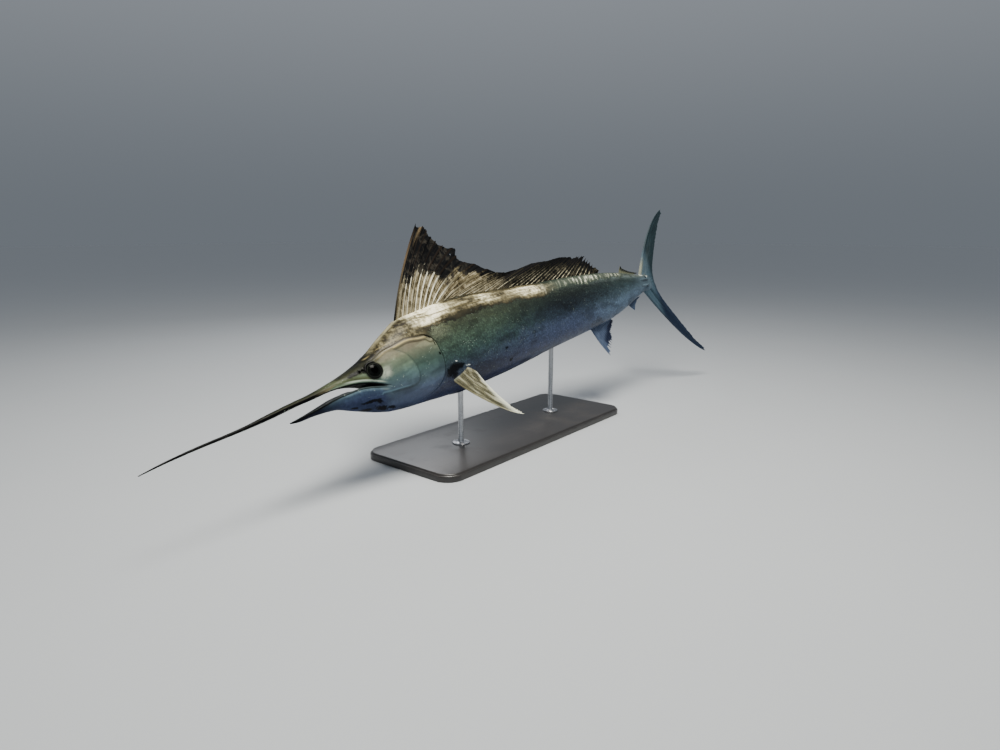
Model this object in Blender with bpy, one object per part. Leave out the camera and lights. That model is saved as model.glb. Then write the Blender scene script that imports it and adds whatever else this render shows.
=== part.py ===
"""Sailfish, life size, as a still museum model on a plain display stand.

The fish is modelled straight in its own frame (X tailward, Y to its right side,
Z up), with the tip of the closed lower jaw at X = 0, and is then bent at the tail
and set on the stand nose down and banked. Stations, heights and half widths are
in percent of the lower jaw to fork length.
"""

import math
import random
from collections import namedtuple

import bmesh
import bpy
import numpy as np
from mathutils import Vector
from mathutils.bvhtree import BVHTree

# Driving dimensions in metres
LOWER_JAW_FORK_LENGTH = 1.75
PERCENT = LOWER_JAW_FORK_LENGTH / 100
GAP = 0.0003
GAP_PERCENT = GAP / PERCENT

# Pose of the fish on its stand
NOSE_DOWN = math.radians(7.45)
BANK = math.radians(18.67)
FISH_PLACE = (-0.80, 0.0, 0.245)
BEND_START = 45.0
BEND_LENGTH = 55.0
TAIL_SWING = 0.80
TAIL_DROOP = 2.57

# Body stations: place, top, bottom, half width, height of the widest line
BODY = (
    (15.4, 3.65, -5.60, 2.80, 0.00),
    (18.0, 5.00, -6.02, 3.20, -0.20),
    (20.0, 5.93, -6.22, 3.42, -0.30),
    (22.0, 6.70, -6.40, 3.55, -0.30),
    (26.4, 7.05, -6.88, 3.72, -0.30),
    (31.0, 7.32, -7.14, 3.76, -0.25),
    (36.0, 7.40, -7.24, 3.74, -0.20),
    (44.0, 6.75, -7.34, 3.60, -0.25),
    (56.0, 5.68, -7.02, 3.15, -0.45),
    (69.0, 4.98, -6.50, 2.60, -0.60),
    (78.0, 4.35, -5.75, 2.20, -0.55),
    (85.0, 3.62, -4.35, 1.75, -0.35),
    (90.0, 2.78, -3.00, 1.30, -0.10),
    (94.0, 2.05, -2.05, 0.82, 0.00),
    (97.0, 2.12, -2.12, 0.34, 0.00),
)
TOP, BOTTOM = 1, 2

# Upper jaw and bill: place, top, lip, half width, widest height, lip angle, roof arch
UPPER_JAW = (
    (-18.5, -0.91, -1.00, 0.07, -0.96, 110, -0.02),
    (-15.6, -0.55, -0.76, 0.14, -0.67, 120, -0.04),
    (-12.0, -0.30, -0.58, 0.19, -0.45, 125, -0.06),
    (-6.0, -0.07, -0.47, 0.26, -0.28, 125, -0.08),
    (-2.0, 0.34, -0.30, 0.42, 0.00, 125, -0.10),
    (1.0, 0.61, -0.10, 0.52, 0.22, 125, -0.05),
    (4.0, 0.84, 0.03, 0.68, 0.38, 122, 0.08),
    (7.0, 1.27, 0.19, 0.95, 0.55, 118, 0.22),
    (9.9, 1.84, -0.03, 1.42, 0.62, 112, 0.35),
    (12.5, 2.56, -0.67, 2.10, 0.42, 107, 0.38),
    (15.4, 3.65, -2.00, 2.80, 0.00, 104, 0.00),
)
LIP_BLEND_START = 12.5

# Lower jaw: place, lip, bottom, half width, widest height above the lip, floor depth
LOWER_JAW = (
    (0.0, -1.76, -1.86, 0.07, 0.00, 0.00),
    (1.4, -1.66, -2.10, 0.34, 0.00, 0.05),
    (3.8, -1.36, -2.12, 0.64, 0.00, 0.18),
    (7.2, -0.88, -2.48, 1.10, 0.00, 0.35),
    (9.0, -0.80, -3.20, 1.36, 0.02, 0.55),
    (11.2, -0.82, -4.12, 1.85, 0.20, 0.60),
    (13.4, -1.38, -4.98, 2.38, 0.90, 0.35),
    (15.4, -2.00, -5.60, 2.80, 2.00, 0.00),
)
MOUTH_CORNER = 15.4
BACK_POWER = 1.9
BELLY_POWER = 2.2
LIP_BULGE = 0.12
LIP_BULGE_ANGLE = math.radians(8)
BILL_START = 2.0
BILL_TIP = -18.5
HEAD_END = 26.4
TORSO_NAMES = ("torso_front", "torso_middle", "torso_rear", "tail_peduncle")
TORSO_CUTS = (HEAD_END, 44.0, 66.0, 84.5, 97.0)
TORSO_STEPS = (6, 7, 6, 7)
BODY_END = TORSO_CUTS[-1]

# Stations of the rings that the solids are lofted through
HEAD_STATIONS = (MOUTH_CORNER, 16.6, 17.8, 19.0, 20.2, 21.6, 23.2, 24.8, HEAD_END)
CHEEK_STATIONS = (BILL_START, 4.0, 6.0, 7.6, 9.0, 10.2, 11.4, 12.5, 13.5, 14.5)
BILL_STATIONS = (BILL_TIP, -17.0, -15.0, -12.0, -9.0, -6.0, -4.0, -2.0, 0.0, BILL_START)
JAW_STATIONS = (0.0, 1.4, 3.0, 5.0, 7.0, 8.4, 9.8, 11.2, 12.6, 14.0, MOUTH_CORNER)
RING = 32
LIP_INDEX = 10
STRIP = 6
SHARP_ANGLE = math.radians(35)

# Eyes and nostrils in side view: place and height
EYE_PLACE = (13.7, 0.88)
EYE_RADIUS = 1.27
EYE_DEPTH = 0.75
EYE_SUNK = 0.40
EYE_SEGMENTS = 24
LID_RADIUS = 1.15
LID_THICKNESS = 0.16
LID_SIDES = 6
NOSTRIL_PLACES = ((11.75, 1.32), (12.25, 1.42))
NOSTRIL_SIZE = 0.16
NOSTRIL_DEPTH = 0.19

# Gill cover: drop below its top, place of its front edge, place of its rear edge
COVER_TOP = 3.4
COVER_EDGES = (
    (0.0, 22.2, 23.3),
    (0.8, 20.7, 24.45),
    (2.0, 19.7, 25.20),
    (3.4, 20.1, 25.60),
    (5.5, 20.5, 25.15),
    (7.4, 19.9, 24.20),
    (8.3, 19.0, 23.00),
    (8.8, 18.3, 21.40),
)
COVER_ROWS = 12
COVER_COLUMNS = 6
COVER_RAISE_FRONT = 0.03
COVER_RAISE_REAR = 0.10
COVER_DEPTH = 0.35
COVER_SLIT = 0.045
COVER_CUT_HEIGHT = 0.6

# Keels on the tail's root: ends, heights above the middle line, half height, stand-off
KEEL_ENDS = (92.4, 96.7)
KEEL_HEIGHTS = (0.68, -0.68)
KEEL_HALF_HEIGHT = 0.17
KEEL_RISE = 0.42
KEEL_STEPS = 8
KEEL_SIDES = 8

# First dorsal fin, by ray from front to back: root place, tip place, tip height
SAIL_RAYS = (
    (21.8, 32.8, 20.45),
    (23.6, 34.3, 19.85),
    (25.4, 35.4, 18.10),
    (27.0, 36.7, 16.80),
    (28.2, 38.4, 15.90),
    (29.2, 40.1, 15.15),
    (30.1, 40.3, 13.10),
    (32.0, 43.4, 11.70),
    (35.0, 46.5, 9.85),
    (39.0, 50.2, 8.95),
    (44.0, 55.5, 9.15),
    (50.0, 61.0, 9.30),
    (57.0, 67.6, 9.25),
    (64.0, 72.6, 8.75),
    (70.0, 75.8, 8.70),
    (75.0, 77.4, 7.10),
    (78.2, 78.6, 5.10),
)
SAIL_SPLIT = 31.05
SAIL_FRONT_RAYS = 11
SAIL_FRONT_ROWS = 8
SAIL_REAR_RAYS = 29
SAIL_REAR_ROWS = 5
SAIL_SEEDS = (3, 4)
SAIL_WAVE = 0.30
SAIL_WAVE_LENGTH = 17.0
SAIL_BOW_FRONT = (-0.8, 0.75)
SAIL_BOW_REACH = 9.0
SAIL_BOW_REAR = 0.1
SAIL_NOTCH = 0.06
SAIL_TORN_START = 62.0
SAIL_TORN_LENGTH = 12.0
SAIL_TORN_NOTCH = 0.16

# Half thickness of rays and web in metres, at the root and at the free edge
SAIL_RAY_HALF = (0.0016, 0.0006)
SAIL_WEB_HALF = (0.0005, 0.0003)
SMALL_RAY_HALF = (0.0013, 0.0006)
SMALL_WEB_HALF = (0.0006, 0.0003)
ANAL_RAY_HALF = (0.0016, 0.0007)
ANAL_WEB_HALF = (0.0008, 0.0003)
PELVIC_RAY_HALF = (0.0014, 0.0006)
PELVIC_WEB_HALF = (0.0009, 0.0004)

# The same for the tail lobes: first ray at its root, last ray at its root, free edge
TAIL_RAY_HALF = (0.0046, 0.0026, 0.0009)
TAIL_WEB_HALF = (0.0036, 0.0020, 0.0005)

# The same for the pectoral fins: root above the free edge, free edge, power of the taper
PECTORAL_RAY_HALF = (0.0030, 0.0007, 1.5)
PECTORAL_WEB_HALF = (0.0024, 0.0004, 2.0)

# Small fins on the middle line; tips are part of the root, place and height
MedianFin = namedtuple("MedianFin", "root line rays rows ray_half web_half notch seed bow tips")
MEDIAN_FINS = {
    "dorsal_second": MedianFin(
        (86.4, 90.6), TOP, 7, 4, SMALL_RAY_HALF, SMALL_WEB_HALF, 0.06, 5, (-0.2, 0.0, 0.2),
        ((0, 88.2, 4.95), (0.2, 89.0, 4.05), (0.5, 91.0, 3.35), (1, 93.9, 2.70))),
    "anal_first": MedianFin(
        (69.4, 79.6), BOTTOM, 11, 6, ANAL_RAY_HALF, ANAL_WEB_HALF, 0.09, 6, (-0.5, 0.0, -0.5),
        ((0, 73.6, -13.0), (0.2, 75.3, -10.9), (0.45, 76.6, -8.8), (0.7, 78.6, -7.5), (1, 81.2, -5.9))),
    "anal_second": MedianFin(
        (85.8, 90.2), BOTTOM, 7, 4, SMALL_RAY_HALF, SMALL_WEB_HALF, 0.06, 7, (-0.2, 0.0, -0.2),
        ((0, 88.0, -5.75), (0.3, 89.2, -4.90), (0.7, 91.4, -3.60), (1, 93.4, -2.75))),
}

# Tail lobes: tips as part of the fan, place and height, and the bow of the leading edge
UPPER_LOBE_TIPS = ((0, 113.1, 17.15), (0.2, 110.0, 14.2), (0.42, 106.3, 10.0), (0.62, 103.2, 6.2),
                   (0.78, 101.2, 3.6), (0.9, 100.2, 1.6), (1, 99.9, 0.05))
LOWER_LOBE_TIPS = ((0, 113.4, -20.0), (0.2, 110.2, -16.6), (0.42, 106.4, -11.6), (0.62, 103.2, -7.5),
                   (0.78, 101.2, -4.7), (0.9, 100.1, -2.4), (1, 99.9, 0.05))
UPPER_LOBE_BOW = (-2.2, 2.2)
LOWER_LOBE_BOW = (-2.1, -2.25)
LOBE_ROOT = 94.4
LOBE_CORNER = 0.25
LOBE_MIDDLE = 0.05
LOBE_BOW_FADE = 1.5
TAIL_RAYS = 13
TAIL_ROWS = 8
TAIL_NOTCH = 0.02
TAIL_SEEDS = (8, 9)

# Pectoral fins: root line, and tips as part of the root, place, side and height
PECTORAL_ROOT = ((0, 26.6, -4.35), (1, 29.9, -3.55))
PECTORAL_CLEARANCE = 0.0043 / PERCENT
LEFT_PECTORAL_TIPS = ((0, 37.1, 5.15, -14.35), (0.35, 35.2, 4.92, -12.1), (0.6, 33.5, 4.65, -9.4),
                      (0.8, 32.0, 4.39, -6.9), (1, 30.9, 4.19, -4.9))
RIGHT_PECTORAL_TIPS = ((0, 40.8, 2.75, -6.6), (0.35, 38.6, 3.15, -5.5), (0.6, 36.4, 3.45, -4.6),
                       (0.8, 34.2, 3.75, -3.9), (1, 32.2, 4.00, -3.4))
LEFT_PECTORAL_BOW = (-1.25, 0.55, -0.75)
RIGHT_PECTORAL_BOW = (-0.30, 0.30, -0.75)
PECTORAL_OUT = Vector((0.1, 1.0, 0.05)).normalized()
PECTORAL_RAYS = 11
PECTORAL_ROWS = 7
PECTORAL_NOTCH = 0.02
PECTORAL_SEED = 10

# Pelvic fins, folded back on edge along the belly: height grows over the reach, then falls
PELVIC_START = 27.6
PELVIC_END = 54.0
PELVIC_HEIGHT = 0.28
PELVIC_GROW = (0.4, 8.0)
PELVIC_FALL = 0.6
PELVIC_SHORTEN = 2.0
PELVIC_SIDE = 0.12
PELVIC_RAYS = 3
PELVIC_ROWS = 12
PELVIC_NOTCH = 0.05
PELVIC_SEED = 11

# Stand in metres, in the world frame
BASE_SIZE = (0.90, 0.34, 0.022)
BASE_CORNER = 0.05
BASE_CORNER_STEPS = 6
BASE_EDGE = 0.004
ROD_RADIUS = 0.008
ROD_PLACES = (("stand_rod_front", -0.22), ("stand_rod_rear", 0.24))
ROD_SIDES = 16
ROD_CLEARANCE = 0.0004


def clear_scene():
    for item in list(bpy.data.objects):
        bpy.data.objects.remove(item, do_unlink=True)


def smooth(table, place, column):
    """Value of a column at a place, on a smooth curve through the table's rows."""
    places = [row[0] for row in table]
    values = [row[column] for row in table]
    if place <= places[0]:
        return values[0]
    if place >= places[-1]:
        return values[-1]
    i = max(k for k in range(len(places) - 1) if places[k] <= place)
    slopes = []
    for k in (i, i + 1):
        low, high = max(k - 1, 0), min(k + 1, len(places) - 1)
        slopes.append((values[high] - values[low]) / (places[high] - places[low]))
    step = places[i + 1] - places[i]
    t = (place - places[i]) / step
    rise = values[i + 1] - values[i]
    m0, m1 = slopes[0] * step, slopes[1] * step
    return values[i] + m0 * t + (3 * rise - 2 * m0 - m1) * t * t + (m0 + m1 - 2 * rise) * t ** 3


def straight(table, place, column):
    """Value of a column at a place, on straight lines through the table's rows."""
    return float(np.interp(place, [row[0] for row in table], [row[column] for row in table]))


def spaced(start, end, count):
    return [start + (end - start) * i / count for i in range(count + 1)]


def bent(place, side, height):
    """Fish frame point in metres, with the bend of the tail."""
    along = max(0.0, (place - BEND_START) / BEND_LENGTH)
    side = side - TAIL_SWING * along * along
    height = height - TAIL_DROOP * along * along
    return Vector((place, side, height)) * PERCENT


def arc_point(top, bottom, half_width, widest, angle):
    """Side and height on an oval section, angle 0 at the top and 180 at the bottom."""
    side, up = math.sin(angle), math.cos(angle)
    power = 2 / (BACK_POWER if up >= 0 else BELLY_POWER)
    rise = (top - widest) if up >= 0 else (widest - bottom)
    reach = half_width * math.copysign(abs(side) ** power, side)
    return -reach, widest + math.copysign(abs(up) ** power, up) * rise


def body_section(place):
    return tuple(smooth(BODY, place, column) for column in (1, 2, 3, 4))


def body_ring(place):
    """Whole ring of a body station, from the top down the left side."""
    section = body_section(place)
    lip_angle = lip_angle_at_corner()
    return [(place,) + arc_point(*section, ring_angle(i, lip_angle)) for i in range(RING)]


def lip_angle_at_corner():
    """Angle of the mouth corner on the section at that station."""
    top, bottom, half_width, widest = body_section(MOUTH_CORNER)
    lip = smooth(UPPER_JAW, MOUTH_CORNER, 2)
    return math.acos(-((widest - lip) / (widest - bottom)) ** (BELLY_POWER / 2))


def ring_angle(i, lip_angle):
    """Angle of a ring's point: the mouth corner always falls on the same index."""
    half = RING // 2
    if i > half:
        return -ring_angle(RING - i, lip_angle)
    if i <= LIP_INDEX:
        return lip_angle * i / LIP_INDEX
    return lip_angle + (math.pi - lip_angle) * (i - LIP_INDEX) / (half - LIP_INDEX)


def upper_section(place):
    """Top, bottom, half width, widest height and lip angle of the upper jaw."""
    top, lip, half_width, widest, degrees = (smooth(UPPER_JAW, place, c) for c in range(1, 6))
    blend = (place - LIP_BLEND_START) / (MOUTH_CORNER - LIP_BLEND_START)
    blend = min(1.0, max(0.0, blend))
    angle = math.radians(degrees) * (1 - blend) + lip_angle_at_corner() * blend
    bottom = widest - (widest - lip) / abs(math.cos(angle)) ** (2 / BELLY_POWER)
    return top, bottom, half_width, widest, angle


def swollen(point, distance):
    """Section point moved out by the swell of the lip, an angle away from the lip's edge."""
    place, side, height = point
    part = (place - BILL_START) / (MOUTH_CORNER - BILL_START)
    if not 0 < part < 1:
        return point
    offset = (distance - LIP_BULGE_ANGLE) / LIP_BULGE_ANGLE
    swell = LIP_BULGE * math.sin(math.pi * part) * math.exp(-offset * offset)
    return place, side + math.copysign(swell, side), height


def lip_strip(place, left_lip, arch):
    """Points across the mouth from the left lip to the right lip, ends left out."""
    points = []
    for k in range(1, STRIP):
        across = 1 - 2 * k / STRIP
        points.append((place, left_lip[1] * across, left_lip[2] + arch * (1 - across * across)))
    return points


def upper_ring(place):
    """Closed ring of the upper jaw: over the top from lip to lip, then the roof."""
    top, bottom, half_width, widest, lip_angle = upper_section(place)
    arc = []
    for i in range(-LIP_INDEX, LIP_INDEX + 1):
        angle = lip_angle * i / LIP_INDEX
        point = (place,) + arc_point(top, bottom, half_width, widest, angle)
        arc.append(swollen(point, lip_angle - abs(angle)))
    return arc + lip_strip(place, arc[-1], smooth(UPPER_JAW, place, 6))


def lower_ring(place):
    """Closed ring of the lower jaw: under the bottom from lip to lip, then the floor."""
    lip, bottom, half_width, rise, floor = (smooth(LOWER_JAW, place, c) for c in range(1, 6))
    widest = lip + rise
    half = RING // 2
    lip_angle = math.acos(-max(0.0, rise / (widest - bottom)) ** (BELLY_POWER / 2))
    arc = []
    for i in range(LIP_INDEX, RING - LIP_INDEX + 1):
        part = (i - half) / (half - LIP_INDEX)
        angle = math.pi + (math.pi - lip_angle) * part
        point = (place,) + arc_point(widest, bottom, half_width, widest, angle)
        arc.append(swollen(point, (math.pi - lip_angle) * (1 - abs(part))))
    return arc + lip_strip(place, arc[0], -floor)[::-1]


def flank(place, height):
    """Half width of the head or body at a height in side view."""
    if place < MOUTH_CORNER:
        top, bottom, half_width, widest, _ = upper_section(place)
    else:
        top, bottom, half_width, widest = body_section(place)
    reach = (top - widest) if height > widest else (widest - bottom)
    power = BACK_POWER if height > widest else BELLY_POWER
    part = min(1.0, abs(height - widest) / reach)
    return half_width * (1 - part ** power) ** (1 / power)


def flank_normal(place, height, side):
    """Outward direction of the flank, in the fish frame."""
    step = 0.05
    along = (flank(place + step, height) - flank(place - step, height)) / (2 * step)
    up = (flank(place, height + step) - flank(place, height - step)) / (2 * step)
    return Vector((-along, side, -up)).normalized()


def flank_point(place, height, side, out=0.0):
    """Point of the flank in metres, moved out along its normal by percents."""
    point = Vector((place, side * flank(place, height), height))
    point += flank_normal(place, height, side) * out
    return bent(*point)


def make_material(name, colour, roughness, metallic=0.0):
    material = bpy.data.materials.new(name)
    material.use_nodes = True
    shader = material.node_tree.nodes["Principled BSDF"]
    shader.inputs["Base Color"].default_value = (*colour, 1)
    shader.inputs["Roughness"].default_value = roughness
    shader.inputs["Metallic"].default_value = metallic
    return material


def make_object(name, bm, material, pose=None):
    """Object from a bmesh, with its normals facing out."""
    bm.normal_update()
    bmesh.ops.recalc_face_normals(bm, faces=bm.faces)
    mesh = bpy.data.meshes.new(name)
    bm.to_mesh(mesh)
    bm.free()
    item = bpy.data.objects.new(name, mesh)
    bpy.context.collection.objects.link(item)
    if material is not None:
        mesh.materials.append(material)
    if pose is not None:
        item.parent = pose
    shade(mesh)
    return item


def shade(mesh):
    """Smooth shading, apart from the edges of cuts and rims."""
    mesh.shade_smooth()
    mesh.set_sharp_from_angle(angle=SHARP_ANGLE)


def close_ring(bm, ring):
    """Fan of triangles from the middle of a ring."""
    middle = sum((v.co for v in ring), Vector()) / len(ring)
    centre = bm.verts.new(middle)
    for a, b in zip(ring, ring[1:] + ring[:1]):
        bm.faces.new((a, b, centre))


def bridge(bm, first, second):
    """Quads between two rings with the same count."""
    for i in range(len(first)):
        k = (i + 1) % len(first)
        bm.faces.new((first[i], first[k], second[k], second[i]))


def add_ring(bm, points):
    return [bm.verts.new(bent(*point)) for point in points]


def bridge_all(bm, layers):
    for first, second in zip(layers, layers[1:]):
        bridge(bm, first, second)


def loft(rings):
    """Closed solid through rings of the same count."""
    bm = bmesh.new()
    layers = [add_ring(bm, ring) for ring in rings]
    bridge_all(bm, layers)
    close_ring(bm, layers[0])
    close_ring(bm, layers[-1])
    return bm


def close_sheet(bm, front, back):
    """Closed sheet between two grids, split into triangles alike on both faces."""
    rows, columns = len(front), len(front[0])
    for i in range(rows - 1):
        for k in range(columns - 1):
            for grid, flip in ((front, False), (back, True)):
                a, b, c, d = grid[i][k], grid[i][k + 1], grid[i + 1][k + 1], grid[i + 1][k]
                for corners in ((a, b, c), (a, c, d)):
                    bm.faces.new(corners[::-1] if flip else corners)
    edge = [(i, 0) for i in range(rows)]
    edge += [(rows - 1, k) for k in range(1, columns)]
    edge += [(i, columns - 1) for i in range(rows - 2, -1, -1)]
    edge += [(0, k) for k in range(columns - 2, 0, -1)]
    for (i, k), (m, n) in zip(edge, edge[1:] + edge[:1]):
        bm.faces.new((front[i][k], front[m][n], back[m][n]))
        bm.faces.new((front[i][k], back[m][n], back[i][k]))


def join_solids(target, others, operation="UNION"):
    """Boolean of an object with a list of closed objects, which are then removed."""
    group = bpy.data.collections.new("joined")
    for other in others:
        other.parent = target.parent
        group.objects.link(other)
    modifier = target.modifiers.new("join", "BOOLEAN")
    modifier.operation = operation
    modifier.operand_type = "COLLECTION"
    modifier.collection = group
    modifier.solver = "EXACT"
    depsgraph = bpy.context.evaluated_depsgraph_get()
    mesh = bpy.data.meshes.new_from_object(target.evaluated_get(depsgraph))
    target.modifiers.remove(modifier)
    old = target.data
    target.data = mesh
    bpy.data.meshes.remove(old)
    for other in others:
        bpy.data.objects.remove(other, do_unlink=True)
    bpy.data.collections.remove(group)
    keep_largest(target)
    shade(target.data)


def keep_largest(item):
    """Keep only the largest closed surface of an object."""
    bm = bmesh.new()
    bm.from_mesh(item.data)
    seen = set()
    shells = []
    for start in bm.faces:
        if start in seen:
            continue
        seen.add(start)
        shell, queue = [], [start]
        while queue:
            current = queue.pop()
            shell.append(current)
            for other in (face for edge in current.edges for face in edge.link_faces):
                if other not in seen:
                    seen.add(other)
                    queue.append(other)
        shells.append(shell)
    shells.sort(key=lambda shell: sum(face.calc_area() for face in shell))
    scraps = [face for shell in shells[:-1] for face in shell]
    bmesh.ops.delete(bm, geom=scraps, context="FACES")
    loose = [vert for vert in bm.verts if not vert.link_faces]
    bmesh.ops.delete(bm, geom=loose, context="VERTS")
    bm.to_mesh(item.data)
    bm.free()


def trunk_stations(node):
    """Stations of one body node between its two cuts."""
    return spaced(TORSO_CUTS[node], TORSO_CUTS[node + 1], TORSO_STEPS[node])


def outline_height(place, line):
    """Top or bottom of the faceted body, which runs straight between its stations."""
    stations = set(HEAD_STATIONS)
    for node in range(len(TORSO_STEPS)):
        stations.update(trunk_stations(node))
    stations = sorted(stations)
    return float(np.interp(place, stations, [smooth(BODY, station, line) for station in stations]))


def ellipsoid(centre, axis, radius, depth, segments):
    """Closed ellipsoid, depth along the axis."""
    bm = bmesh.new()
    bmesh.ops.create_uvsphere(bm, u_segments=segments, v_segments=segments // 2, radius=1)
    turn = axis.to_track_quat("Z", "Y")
    for vert in bm.verts:
        vert.co = turn @ Vector((vert.co.x * radius, vert.co.y * radius, vert.co.z * depth))
        vert.co += centre
    return bm


def eye_solid(side, extra):
    """Eyeball of one side, swollen by an extra size in metres."""
    centre = flank_point(*EYE_PLACE, side, -EYE_SUNK)
    normal = flank_normal(*EYE_PLACE, side)
    return ellipsoid(centre, normal, EYE_RADIUS * PERCENT + extra, EYE_DEPTH * PERCENT + extra, EYE_SEGMENTS)


def nostril_solid(place, height, side):
    centre = flank_point(place, height, side)
    normal = flank_normal(place, height, side)
    return ellipsoid(centre, normal, NOSTRIL_SIZE * PERCENT, NOSTRIL_DEPTH * PERCENT, 8)


def lid_ring(side):
    """Raised rim around the eye, laid on the surface of the head."""
    bm = bmesh.new()
    rings = []
    for i in range(EYE_SEGMENTS):
        angle = 2 * math.pi * i / EYE_SEGMENTS
        place = EYE_PLACE[0] + LID_RADIUS * math.cos(angle)
        height = EYE_PLACE[1] + LID_RADIUS * math.sin(angle)
        normal = flank_normal(place, height, side)
        outward = Vector((math.cos(angle), 0, math.sin(angle)))
        outward -= normal * outward.dot(normal)
        outward.normalize()
        centre = flank_point(place, height, side)
        ring = []
        for k in range(LID_SIDES):
            turn = 2 * math.pi * k / LID_SIDES
            offset = normal * math.cos(turn) + outward * math.sin(turn)
            ring.append(bm.verts.new(centre + offset * LID_THICKNESS * PERCENT))
        rings.append(ring)
    bridge_all(bm, rings + rings[:1])
    return bm


def cover_grid(side, lift, margin):
    """Rows of points on a gill cover, lifted off the flank, with a margin all round."""
    tall = COVER_EDGES[-1][0]
    drops = [(tall * (1 - math.cos(math.pi * part)) / 2, 0.0) for part in spaced(0.0, 1.0, COVER_ROWS)]
    parts = [(part, 0.0) for part in spaced(0.0, 1.0, COVER_COLUMNS)]
    if margin:
        drops = [(drops[0][0], margin)] + drops + [(drops[-1][0], -margin)]
        parts = [(0.0, -margin)] + parts + [(1.0, margin)]
    rows = []
    for drop, shift_up in drops:
        front, rear = smooth(COVER_EDGES, drop, 1), smooth(COVER_EDGES, drop, 2)
        height = COVER_TOP - drop + shift_up
        row = []
        for part, shift_back in parts:
            place = front + (rear - front) * part + shift_back
            row.append(flank_point(place, height, side, lift(part)))
        rows.append(row)
    return rows


def gill_cover(side, lift, depth, margin=0.0):
    """Curved plate over the gills, from its outer face down to a depth in the flank."""
    bm = bmesh.new()
    grids = []
    for height in (lift, lambda part: -depth):
        rows = cover_grid(side, height, margin)
        grids.append([[bm.verts.new(point) for point in row] for row in rows])
    close_sheet(bm, *grids)
    return bm


def cover_lift(part):
    """Height of a gill cover above the flank, from its front edge to its rear edge."""
    return COVER_RAISE_FRONT + (COVER_RAISE_REAR - COVER_RAISE_FRONT) * part


def keel_solid(side, height):
    """Spindle that follows the side of the tail's root."""
    rings = []
    for k in range(1, KEEL_STEPS):
        part = k / KEEL_STEPS
        swell = math.sin(math.pi * part)
        place = KEEL_ENDS[0] + (KEEL_ENDS[1] - KEEL_ENDS[0]) * part
        ring = []
        for i in range(KEEL_SIDES):
            turn = 2 * math.pi * i / KEEL_SIDES
            out = KEEL_RISE * swell * math.cos(turn)
            up = KEEL_HALF_HEIGHT * swell * math.sin(turn)
            ring.append((place, side * (flank(place, height) + out), height + up))
        rings.append(ring)
    return loft(rings)


class Fin:
    """Fin as a fan of rays: ridges on a thin web, from the root line to the free edge."""

    def __init__(self, root, tip, bow, rays, rows, start=0.0, end=1.0):
        self.root, self.tip, self.bow = root, tip, bow
        self.rays, self.rows = rays, rows
        self.start, self.end = start, end

    def centre(self, across, along):
        """Point on the middle sheet: a curved ray from root to tip."""
        root, tip = Vector(self.root(across)), Vector(self.tip(across))
        control = (root + tip) / 2 + Vector(self.bow(across))
        return root * (1 - along) ** 2 + control * 2 * along * (1 - along) + tip * along * along

    def build(self, ray_half, web_half, notch, seed, out=Vector((0, 1, 0))):
        """Closed mesh with a column for each ray and one of web between neighbours."""
        rng = random.Random(seed)
        bm = bmesh.new()
        left = [[] for _ in range(self.rows + 1)]
        right = [[] for _ in range(self.rows + 1)]
        for i, across in enumerate(spaced(self.start, self.end, 2 * (self.rays - 1))):
            is_ray = i % 2 == 0
            reach = 1.0 if is_ray else 1.0 - notch(across) * rng.uniform(0.5, 1.3)
            half = ray_half if is_ray else web_half
            for j, part in enumerate(spaced(0.0, 1.0, self.rows)):
                along = reach * part
                point = bent(*self.centre(across, along))
                offset = out * half(across, along)
                left[j].append(bm.verts.new(point - offset))
                right[j].append(bm.verts.new(point + offset))
        close_sheet(bm, left, right)
        return bm


def taper(halves):
    """Half thickness in metres that falls evenly from the root to the free edge."""
    return lambda across, along: halves[0] + (halves[1] - halves[0]) * along


def lobe_taper(halves):
    """Half thickness of a tail lobe, which is thickest at its leading edge's root."""
    first, last, edge = halves
    return lambda across, along: (first + (last - first) * across) * (1 - along) + edge


def curved_taper(halves):
    """Half thickness that falls fast behind the root."""
    root, edge, power = halves
    return lambda across, along: root * (1 - along) ** power + edge


def even(value):
    """The same notch all along a fin's edge."""
    return lambda across: value


def sail_root(across):
    """Root of the sail: the fan position is the place on the back."""
    return (across, 0.0, outline_height(across, TOP) + GAP_PERCENT)


def sail_tip(across):
    """Free edge of the sail, with a sideways ripple."""
    place, height = straight(SAIL_RAYS, across, 1), straight(SAIL_RAYS, across, 2)
    return (place, SAIL_WAVE * math.sin(2 * math.pi * place / SAIL_WAVE_LENGTH), height)


def sail_bow(across):
    """Rays bow forward near the front and lie straighter behind."""
    front = max(0.0, 1 - (across - SAIL_RAYS[0][0]) / SAIL_BOW_REACH)
    return (SAIL_BOW_FRONT[0] * front, 0.0, SAIL_BOW_FRONT[1] * front + SAIL_BOW_REAR)


def sail_notch(across):
    """Depth of the web's notches, deeper towards the torn rear end."""
    torn = min(1.0, max(0.0, (across - SAIL_TORN_START) / SAIL_TORN_LENGTH))
    return SAIL_NOTCH + SAIL_TORN_NOTCH * torn


def build_sail(pose, material):
    """First dorsal fin in two nodes, parted behind its torn corner."""
    first, last = SAIL_RAYS[0][0], SAIL_RAYS[-1][0]
    front = Fin(sail_root, sail_tip, sail_bow, SAIL_FRONT_RAYS, SAIL_FRONT_ROWS,
                first, SAIL_SPLIT - GAP_PERCENT)
    rear = Fin(sail_root, sail_tip, sail_bow, SAIL_REAR_RAYS, SAIL_REAR_ROWS,
               SAIL_SPLIT + GAP_PERCENT, last)
    for name, fin, seed in zip(("dorsal_sail_front", "dorsal_sail_rear"), (front, rear), SAIL_SEEDS):
        bm = fin.build(taper(SAIL_RAY_HALF), taper(SAIL_WEB_HALF), sail_notch, seed)
        make_object(name, bm, material, pose)


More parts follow.
